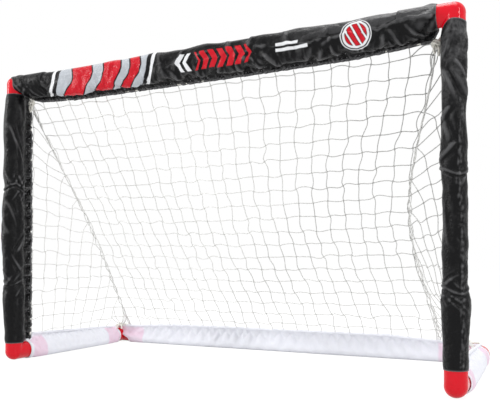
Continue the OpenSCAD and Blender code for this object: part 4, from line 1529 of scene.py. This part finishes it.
# %% [markdown]
# ### Twine as tubes
#
# A twine could be a curve with a round bevel. Here it is a ring of points at each place along its
# path, carried from one to the next without twisting, because a mesh takes exact UVs: metres along
# and turns around, from which the finish draws the lay of the strands.

# %% Rings round a path
ANY_SIDE = (0.31, 0.85, 0.42)    # where a ring starts: no twine runs exactly this way


def rings(path, radius, sides):
    """A ring of points round each place of the path, carried along it without twisting."""
    ahead = np.gradient(path, axis=0)
    ahead /= np.linalg.norm(ahead, axis=1, keepdims=True) + 1e-12
    up = np.cross(ahead[0], ANY_SIDE)
    turn = 2 * math.pi * np.arange(sides) / sides
    made = []
    for p, t in zip(path, ahead):
        up = up - t * (up @ t)
        up /= np.linalg.norm(up)
        over = np.cross(t, up)
        made.extend(p + radius * (math.cos(a) * up + math.sin(a) * over) for a in turn)
    return made


def between_rings(first, length, sides):
    """Faces between the rings and over both ends, and their UVs. length is metres along, by ring."""
    faces, uvs = [], []
    for i in range(len(length) - 1):
        for k in range(sides):
            k2 = (k + 1) % sides
            base = first + i * sides
            faces.append((base + k, base + k2, base + sides + k2, base + sides + k))
            a, b = k / sides, (k + 1) / sides
            uvs.extend(((length[i], a), (length[i], b), (length[i + 1], b), (length[i + 1], a)))
    last = first + (len(length) - 1) * sides
    for start, order in ((first, range(sides - 1, -1, -1)), (last, range(sides))):
        faces.append(tuple(start + k for k in order))
        uvs.extend([(0, 0)] * sides)
    return faces, uvs

# %% Twine as tubes
def tubes(name, paths, radius, finish_name, sides=6):
    """One mesh of round twines along the paths. Prints how much twine it took."""
    points, faces, uvs = [], [], []
    metres = 0
    for path in paths:
        path = np.asarray(path, float)
        steps = np.linalg.norm(np.diff(path, axis=0), axis=1)
        length = np.concatenate([[0], np.cumsum(steps)])
        more_faces, more_uvs = between_rings(len(points), length, sides)
        points += rings(path, radius, sides)
        faces += more_faces
        uvs += more_uvs
        metres += length[-1]
    mesh = bpy.data.meshes.new(name)
    mesh.from_pydata([tuple(p) for p in points], [], faces)
    mesh.uv_layers.new(name=ROPE).data.foreach_set("uv", np.array(uvs, np.float32).ravel())
    mesh.polygons.foreach_set("use_smooth", [True] * len(mesh.polygons))
    piece = bpy.data.objects.new(name, mesh)
    bpy.context.scene.collection.objects.link(piece)
    mesh.materials.append(FINISH[finish_name])
    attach(piece, "root")
    print("%s: %.3f m, %.1f mm thick, paths: %d" % (name, metres, 2 * radius / MM, len(paths)))
    return piece

# %% Twine that swings from knot to knot
def swing(knots, tilts, steps=5):
    """A path through the knots that leaves each one at its own angle."""
    knots = np.asarray(knots, float)
    if len(knots) > 2:
        ahead = np.gradient(knots, axis=0)
    else:
        ahead = np.repeat([knots[-1] - knots[0]], len(knots), 0)
    ahead = ahead + tilts * np.linalg.norm(ahead, axis=1, keepdims=True)
    path = []
    for n in range(len(knots) - 1):
        for t in np.linspace(0, 1, steps, endpoint=False):
            path.append((2 * t**3 - 3 * t**2 + 1) * knots[n] + (t**3 - 2 * t**2 + t) * ahead[n]
                        + (3 * t**2 - 2 * t**3) * knots[n + 1] + (t**3 - t**2) * ahead[n + 1])
    return path + [knots[-1]]


def still_ends(turns):
    """The knots' turns as a column, with a straight end on each side."""
    return np.concatenate([[0], turns, [0]])[:, None]

# %% Overhand knots
def trefoil(centre, size, steps, spin):
    """A closed overhand knot, turned by three angles."""
    t = np.linspace(0, 2 * math.pi, steps)
    out = 2 + np.cos(3 * t)
    knot = np.stack([out * np.cos(2 * t), out * np.sin(2 * t), 1.3 * np.sin(3 * t)], -1)
    for axis, angle in enumerate(spin):
        a, b = (axis + 1) % 3, (axis + 2) % 3
        turned = knot.copy()
        turned[:, a] = knot[:, a] * math.cos(angle) - knot[:, b] * math.sin(angle)
        turned[:, b] = knot[:, a] * math.sin(angle) + knot[:, b] * math.cos(angle)
        knot = turned
    return np.asarray(centre) + knot * size / 3


KNOT_SIZE, KNOT_POINTS = 1.15 * MM, 13


def twine_knot(place):
    """The small knot where two twines of the net cross."""
    return list(trefoil(place, KNOT_SIZE, KNOT_POINTS, dice.uniform(0, 3, 3)))

# %% Twines of the back
BACK_TURN, BACK_DROOP = 0.32, 0.18      # how much a knot is turned, and hangs to one side
COLUMN_TILT = 0.8                       # a column is pushed sideways less than a row is pushed down
row_turns = np.array([BACK_TURN * dice.normal(size=BACK_COLUMNS) - BACK_DROOP for _ in row_s])
back_paths = []
for j, row in enumerate(back_rows):
    path = [crease(LEFT, row_s[j]), *row, crease(RIGHT, row_s[j])]
    back_paths.append(swing(path, still_ends(row_turns[j]) * slope))
for i in range(BACK_COLUMNS):
    top_x, foot_x = back_rows[0][i][0], back_rows[-1][i][0]
    top, foot = on_slope(top_x, bar_hem(top_x)), on_slope(foot_x, slope_len - back_hem(foot_x) + MM)
    path = [top, *(row[i] for row in back_rows), foot]
    back_paths.append(swing(path, -still_ends(row_turns[:, i]) * RIGHTWARDS * COLUMN_TILT))
print("back net: %d rows and %d columns of twine" % (len(back_rows), BACK_COLUMNS))

# %% Twines of the sides
SIDE_TURN, SIDE_DROOP = 0.3, 0.15
SIDE_ROW_TILT = 0.9


def side_twines(side):
    """Rows run from the post's hem to the crease, columns from the side hem up to the crease."""
    rows = side_rows[side]
    turns = SIDE_TURN * dice.normal(size=(len(rows), MOST_KNOTS)) + SIDE_DROOP
    paths = []
    for m, (row, corner_at) in enumerate(rows):
        if row:
            tilt = np.append(turns[m, :len(row)], 0)[:, None]
            paths.append(swing([*row, corner_at], tilt * UPWARDS * SIDE_ROW_TILT))
    for k in range(MOST_KNOTS):
        column = [row[k] for row, _ in rows if len(row) > k]
        if not column:
            continue
        over = len(column)
        foot = [np.array((side * post_x, column[0][1], base_z + side_hem(column[0][1])))] if k else []
        top = [rows[over][1]] if k and over < len(rows) else []
        path = foot + column + top
        if len(path) > 1:
            tilt = np.concatenate([[0] * len(foot), turns[:over, k], [0] * len(top)])[:, None]
            paths.append(swing(path, -tilt * BACKWARDS * COLUMN_TILT))
    return paths


side_paths = {side: side_twines(side) for side in (LEFT, RIGHT)}
print("side nets:", [len(side_paths[side]) for side in (LEFT, RIGHT)], "rows and columns of twine")

# %% The nets
for row in back_rows:
    back_paths += [twine_knot(place) for place in row]
for side in (LEFT, RIGHT):
    side_paths[side] += [twine_knot(place) for row, _ in side_rows[side] for place in row[1:]]

piece = tubes("back_net_twine", back_paths, TWINE_R, "net_twine")
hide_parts("back_net")
for side, word in SIDES:
    piece = tubes(word + "_side_net_twine", side_paths[side], TWINE_R, "net_twine")
    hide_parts(word + "_side_net")

# %% [markdown]
# ## Lacings
#
# Each side net is laced to the back net along the crease. Seen close, the lacing isn't one cord:
# it is two or three twines that wind round each other loosely, more so lower down, with small
# waves where they pass through the holes. A helix with a seeded ruffle gives both.

# %% Lacings
STRANDS = {LEFT: 2, RIGHT: 3}
LACING_TURN = 52 * MM            # the strands go once round each other in this length
LACING_POINTS = 170
APART, APART_MORE = 0.7 * MM, 1.3 * MM
LACING_RUFFLE, RUFFLE_SIZE = 0.9 * MM, 1.6
for side, word in SIDES:
    s_run = np.linspace(bar_hem(side * post_x) + 8 * MM, slope_len - base_hem - 2 * HEM_R, LACING_POINTS)
    down_it = (s_run - s_run[0]) / np.ptp(s_run)
    apart = APART + APART_MORE * ramp(down_it, 0.1, 0.6)
    paths = []
    for n in range(STRANDS[side]):
        around = 2 * math.pi * (s_run / LACING_TURN + n / STRANDS[side])
        wander = smooth_noise(dice, (len(s_run),), (RUFFLE_SIZE,))
        sideways = apart * np.cos(around) + LACING_RUFFLE * ramp(down_it, 0.15, 0.5) * wander
        paths.append([crease(side, s) + w * RIGHTWARDS + d * math.sin(a) * inwards
                      for s, w, d, a in zip(s_run, sideways, apart, around)])
    piece = tubes(word + "_lacing_twine", paths, TWINE_R, "lacing_twine")
    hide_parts(word + "_lacing")

# %% [markdown]
# ## Cords in the hems
#
# A braided cord runs inside each rolled hem. It hardly shows, but its ends do, so each cord is one
# plain tube along the line of its hem.

# %% Cords in the hems
CORD_R = 1.0 * MM
CORD_POINTS = 60


def hem_line(name):
    """Points along the middle of one rolled hem, from end to end."""
    low, high = low_high(name + "_hem_cord")
    along = np.linspace(0, 1, CORD_POINTS)
    if name == "crossbar":
        return [on_slope(x, bar_hem(x)) for x in mix(low[0] - 4 * MM, high[0], along)]
    if name == "back":
        return [on_slope(x, slope_len - back_hem(x)) for x in mix(low[0], high[0], along)]
    x = (LEFT if name.startswith("left") else RIGHT) * post_x
    if name.endswith("side"):
        ys = mix(low[1] + 4 * MM, high[1] - 2 * MM, along)
        return [np.array((x, y, base_z + side_hem(y))) for y in ys]
    return [np.array((x, post_hem_y, z)) for z in mix(low[2] + 2 * MM, high[2], along)]


for name in ("crossbar", "left_post", "right_post", "left_side", "right_side", "back"):
    piece = tubes(name + "_braided_cord", [hem_line(name)], CORD_R, "cord", sides=8)
    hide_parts(name + "_hem_cord")

# %% [markdown]
# ## Corner ties
#
# At every corner the hem cords come out, are drawn through the corner of the net and tied in a
# knot, so the net bunches there. A real knot could be simulated, but no one could say where it
# would settle. Each tie is one cord that goes from one hem's end over to the knot and on to the
# next hem. The knot is a few loose turns round an overhand knot. Short tails hang from it, and a
# few strands of net are drawn up into it.

# %% Parts of a tie
TIE_R = 1.5 * MM
KNOT_TURNS, TURN_POINTS = 2, 14
OVERHAND_SPIN = (0.5, 0.9, 0.2)
STRAND_BOW = (0.08, 0.16)        # of a strand's length


def nudge(side, x, y, z):
    """A small move in mm, with x outwards on either side of the goal."""
    return np.array((side * x, y, z)) * MM


def smooth_line(places, steps=10):
    """A round curve through all the places."""
    places = np.asarray(places, float)
    return swing(places, np.zeros_like(places), steps)


def wound(centre, size):
    """A few loose turns of cord, the body of a big knot."""
    t = np.linspace(0, 2 * math.pi * KNOT_TURNS, TURN_POINTS * KNOT_TURNS)
    coil = np.stack([np.cos(t), 0.8 * np.sin(t), 0.5 * np.sin(t * 1.7 + 0.4)], -1)
    coil += 0.15 * dice.normal(size=(1, 3))
    return list(np.asarray(centre) + coil * size)


def drawn_strand(knot_at, target):
    """A strand of net that bows a little on its way up into the knot."""
    across = np.cross(target - knot_at, BACKWARDS)
    across = across / (np.linalg.norm(across) + 1e-9)
    bow = dice.choice((-1, 1)) * dice.uniform(*STRAND_BOW)
    halfway = mix(knot_at, target, 0.45) + across * bow * np.linalg.norm(target - knot_at)
    return smooth_line([knot_at, halfway, target], 8)

# %% Tie one corner
def tie(name, line, knot_at, tails, strands, size):
    """One corner: the cord, its knot and tails, and the strands of net drawn up into the knot."""
    paths = [smooth_line(line), wound(knot_at, size), list(trefoil(knot_at, size * 1.1, 40, OVERHAND_SPIN))]
    paths += [smooth_line([knot_at, *tail]) for tail in tails]
    cord = tubes(name + "_knotted_cord", paths, TIE_R, "cord", 8)
    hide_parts(name + "_tie")
    drawn = [drawn_strand(knot_at, target) for target in strands]
    bunch = tubes(name + "_net_bunch", drawn, TWINE_R, "net_twine")
    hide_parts(name + "_tie")

# %% Top ties
TOP_KNOT_X = {LEFT: 324 * MM, RIGHT: 320 * MM}
TOP_KNOT_DOWN = 32 * MM
TOP_KNOT = {LEFT: 4 * MM, RIGHT: 5.6 * MM}
LOWEST_STRAND = 58 * MM


def top_tie(side, word):
    """From the post's hem in and up to the knot, and on into the crossbar's hem."""
    post_end = hem_line(word + "_post")[-1]
    bar_end = hem_line("crossbar")[0 if side == LEFT else -1]
    knot_at = on_slope(side * TOP_KNOT_X[side], TOP_KNOT_DOWN)
    line = [post_end, post_end + nudge(side, -1, -8, 7), post_end + nudge(side, -8, -15, 5),
            knot_at + nudge(side, 2, 0, 4), knot_at,
            mix(knot_at, bar_end, 0.6) - nudge(side, 0, 0, 2), bar_end]
    tails = ([knot_at + nudge(side, 3, -2, -7), knot_at + nudge(side, 2, -1, -15)],
             [knot_at + nudge(side, -3, -3, -6), knot_at + nudge(side, -2, -3, -12)])
    near, next_one = (0, 1) if side == LEFT else (-1, -2)
    strands = [crease(side, row_s[0]), crease(side, row_s[1]), back_rows[0][near], back_rows[0][next_one],
               back_rows[1][near], np.array((side * post_x, post_hem_y, crossbar_z - LOWEST_STRAND))]
    tie("top_" + word, line, knot_at, tails, strands, TOP_KNOT[side])

# %% Back ties
BACK_KNOT = 3 * MM


def last_knot(side, m):
    """The hindmost knot of a side row, or the crease where the row has none."""
    row, _ = side_rows[side][m]
    return row[-1] if row else crease(side, row_s[-2 - m])


def back_tie(side, word):
    """From the side hem round the corner into the back hem, with its knot halfway."""
    side_end = hem_line(word + "_side")[-1]
    back_end = hem_line("back")[0 if side == LEFT else -1]
    knot_at = mix(side_end, back_end, 0.5) + nudge(side, 0, -3, 4)
    line = [side_end, side_end + nudge(side, 0, 6, 3), knot_at + nudge(side, 3, 3, 0), knot_at,
            back_end + nudge(side, 6, 0, 3), back_end]
    tails = ([knot_at + nudge(side, 4, -6, -3), knot_at + nudge(side, 5, -10, -9)],
             [knot_at + nudge(side, -5, -6, -1), knot_at + nudge(side, -8, -10, -7)])
    near = 0 if side == LEFT else -1
    strands = [crease(side, row_s[-1]), crease(side, row_s[-2]), back_rows[-1][near], back_rows[-2][near],
               last_knot(side, 0), last_knot(side, 1)]
    tie("back_" + word, line, knot_at, tails, strands, BACK_KNOT)

# %% Tie all four corners
for side, word in SIDES:
    top_tie(side, word)
    back_tie(side, word)

# %% [markdown]
# ## White room and paper floor
#
# A white studio: the camera, and every shine, see plain white all round, and the paper floor only
# keeps a soft shadow. More light would make it white as well, but it would bleach the cloth. So
# the paper glows only for the rays that carry the picture or a shine, and keeps a share of its own
# shaded self. The world does the same, and lights the goal gently from all sides.

# %% White room and paper floor
PAPER = 0.8
GLOW = 1.22
KEEP_SHADOW = 0.25
ROOM = 0.5
FAR = 12
SEES_WHITE = ("Is Camera Ray", "Is Glossy Ray", "Is Transmission Ray")


def seen_straight(wire):
    """1 for the rays that carry the picture or a shine, 0 for those that carry light."""
    camera_ray, glossy_ray, clear_ray = (wire.node("ShaderNodeLightPath", out=name) for name in SEES_WHITE)
    return camera_ray.most(glossy_ray).most(clear_ray)


floor_mesh = bpy.data.meshes.new("floor")
floor_mesh.from_pydata([(-FAR, -FAR, 0), (FAR, -FAR, 0), (FAR, FAR, 0), (-FAR, FAR, 0)], [], [(0, 1, 2, 3)])
floor = bpy.data.objects.new("floor", floor_mesh)
bpy.context.scene.collection.objects.link(floor)
paper, w, skin = finish("floor_paper", Base_Color=(PAPER, PAPER, PAPER), Roughness=0.9,
                        Specular_IOR_Level=0.0)
glow = w.node("ShaderNodeEmission", None, {"Color": (1, 1, 1, 1), "Strength": GLOW})
mixed = w.node("ShaderNodeMixShader", None,
               {0: seen_straight(w) * (1 - KEEP_SHADOW), 1: Wire(w.tree, skin.outputs[0]), 2: glow})
w.tree.links.new(mixed.socket, w.tree.nodes["Material Output"].inputs["Surface"])
floor_mesh.materials.append(paper)

world = bpy.data.worlds.new("studio")
bpy.context.scene.world = world
world.use_nodes = True
w = Wire(world.node_tree)
sky = w.tree.nodes["Background"]
sky.inputs["Color"].default_value = (1, 1, 1, 1)
w.tree.links.new((ROOM + seen_straight(w) * (1 - ROOM)).socket, sky.inputs["Strength"])
print("room light %.2f, paper keeps %.0f%% of its shadow" % (ROOM, 100 * KEEP_SHADOW))

# %% [markdown]
# ## Four lamps
#
# The room's light alone is flat. Four soft lamps do what softboxes do for glossy cloth and
# plastic: one overhead lights the top of the bar, one at each side draws an upright streak on the
# round posts, and a weak one at the front left opens the folds. Their power is kept low enough
# for the white cloth and the net to stay just below white.

# %% Four lamps
LAMPS = (     # name, where it stands, what it points at, width and height in metres, watts
    ("overhead", (0.3, 0.0, 1.9), (0.1, -0.1, 0.4), (1.5, 0.8), 20),
    ("right_strip", (1.7, -0.95, 0.75), (0.2, 0, 0.2), (0.12, 1.3), 12),
    ("left_soft", (-1.9, -0.95, 0.8), (-0.2, 0, 0.2), (0.35, 1.3), 20),
    ("front_left", (-1.2, -2.2, 1.5), (0, 0, 0.2), (0.6, 0.5), 8),
)
for name, place, aim, size, watts in LAMPS:
    light = bpy.data.lights.new(name, "AREA")
    light.shape = "RECTANGLE"
    light.size, light.size_y = size
    light.energy = watts
    lamp = bpy.data.objects.new(name, light)
    lamp.location = place
    lamp.rotation_mode = "QUATERNION"
    lamp.rotation_quaternion = (Vector(aim) - Vector(place)).to_track_quat("-Z", "Y")
    bpy.context.scene.collection.objects.link(lamp)

bpy.context.scene.view_settings.view_transform = "Standard"
print("lamps:", ", ".join(name for name, *_ in LAMPS))
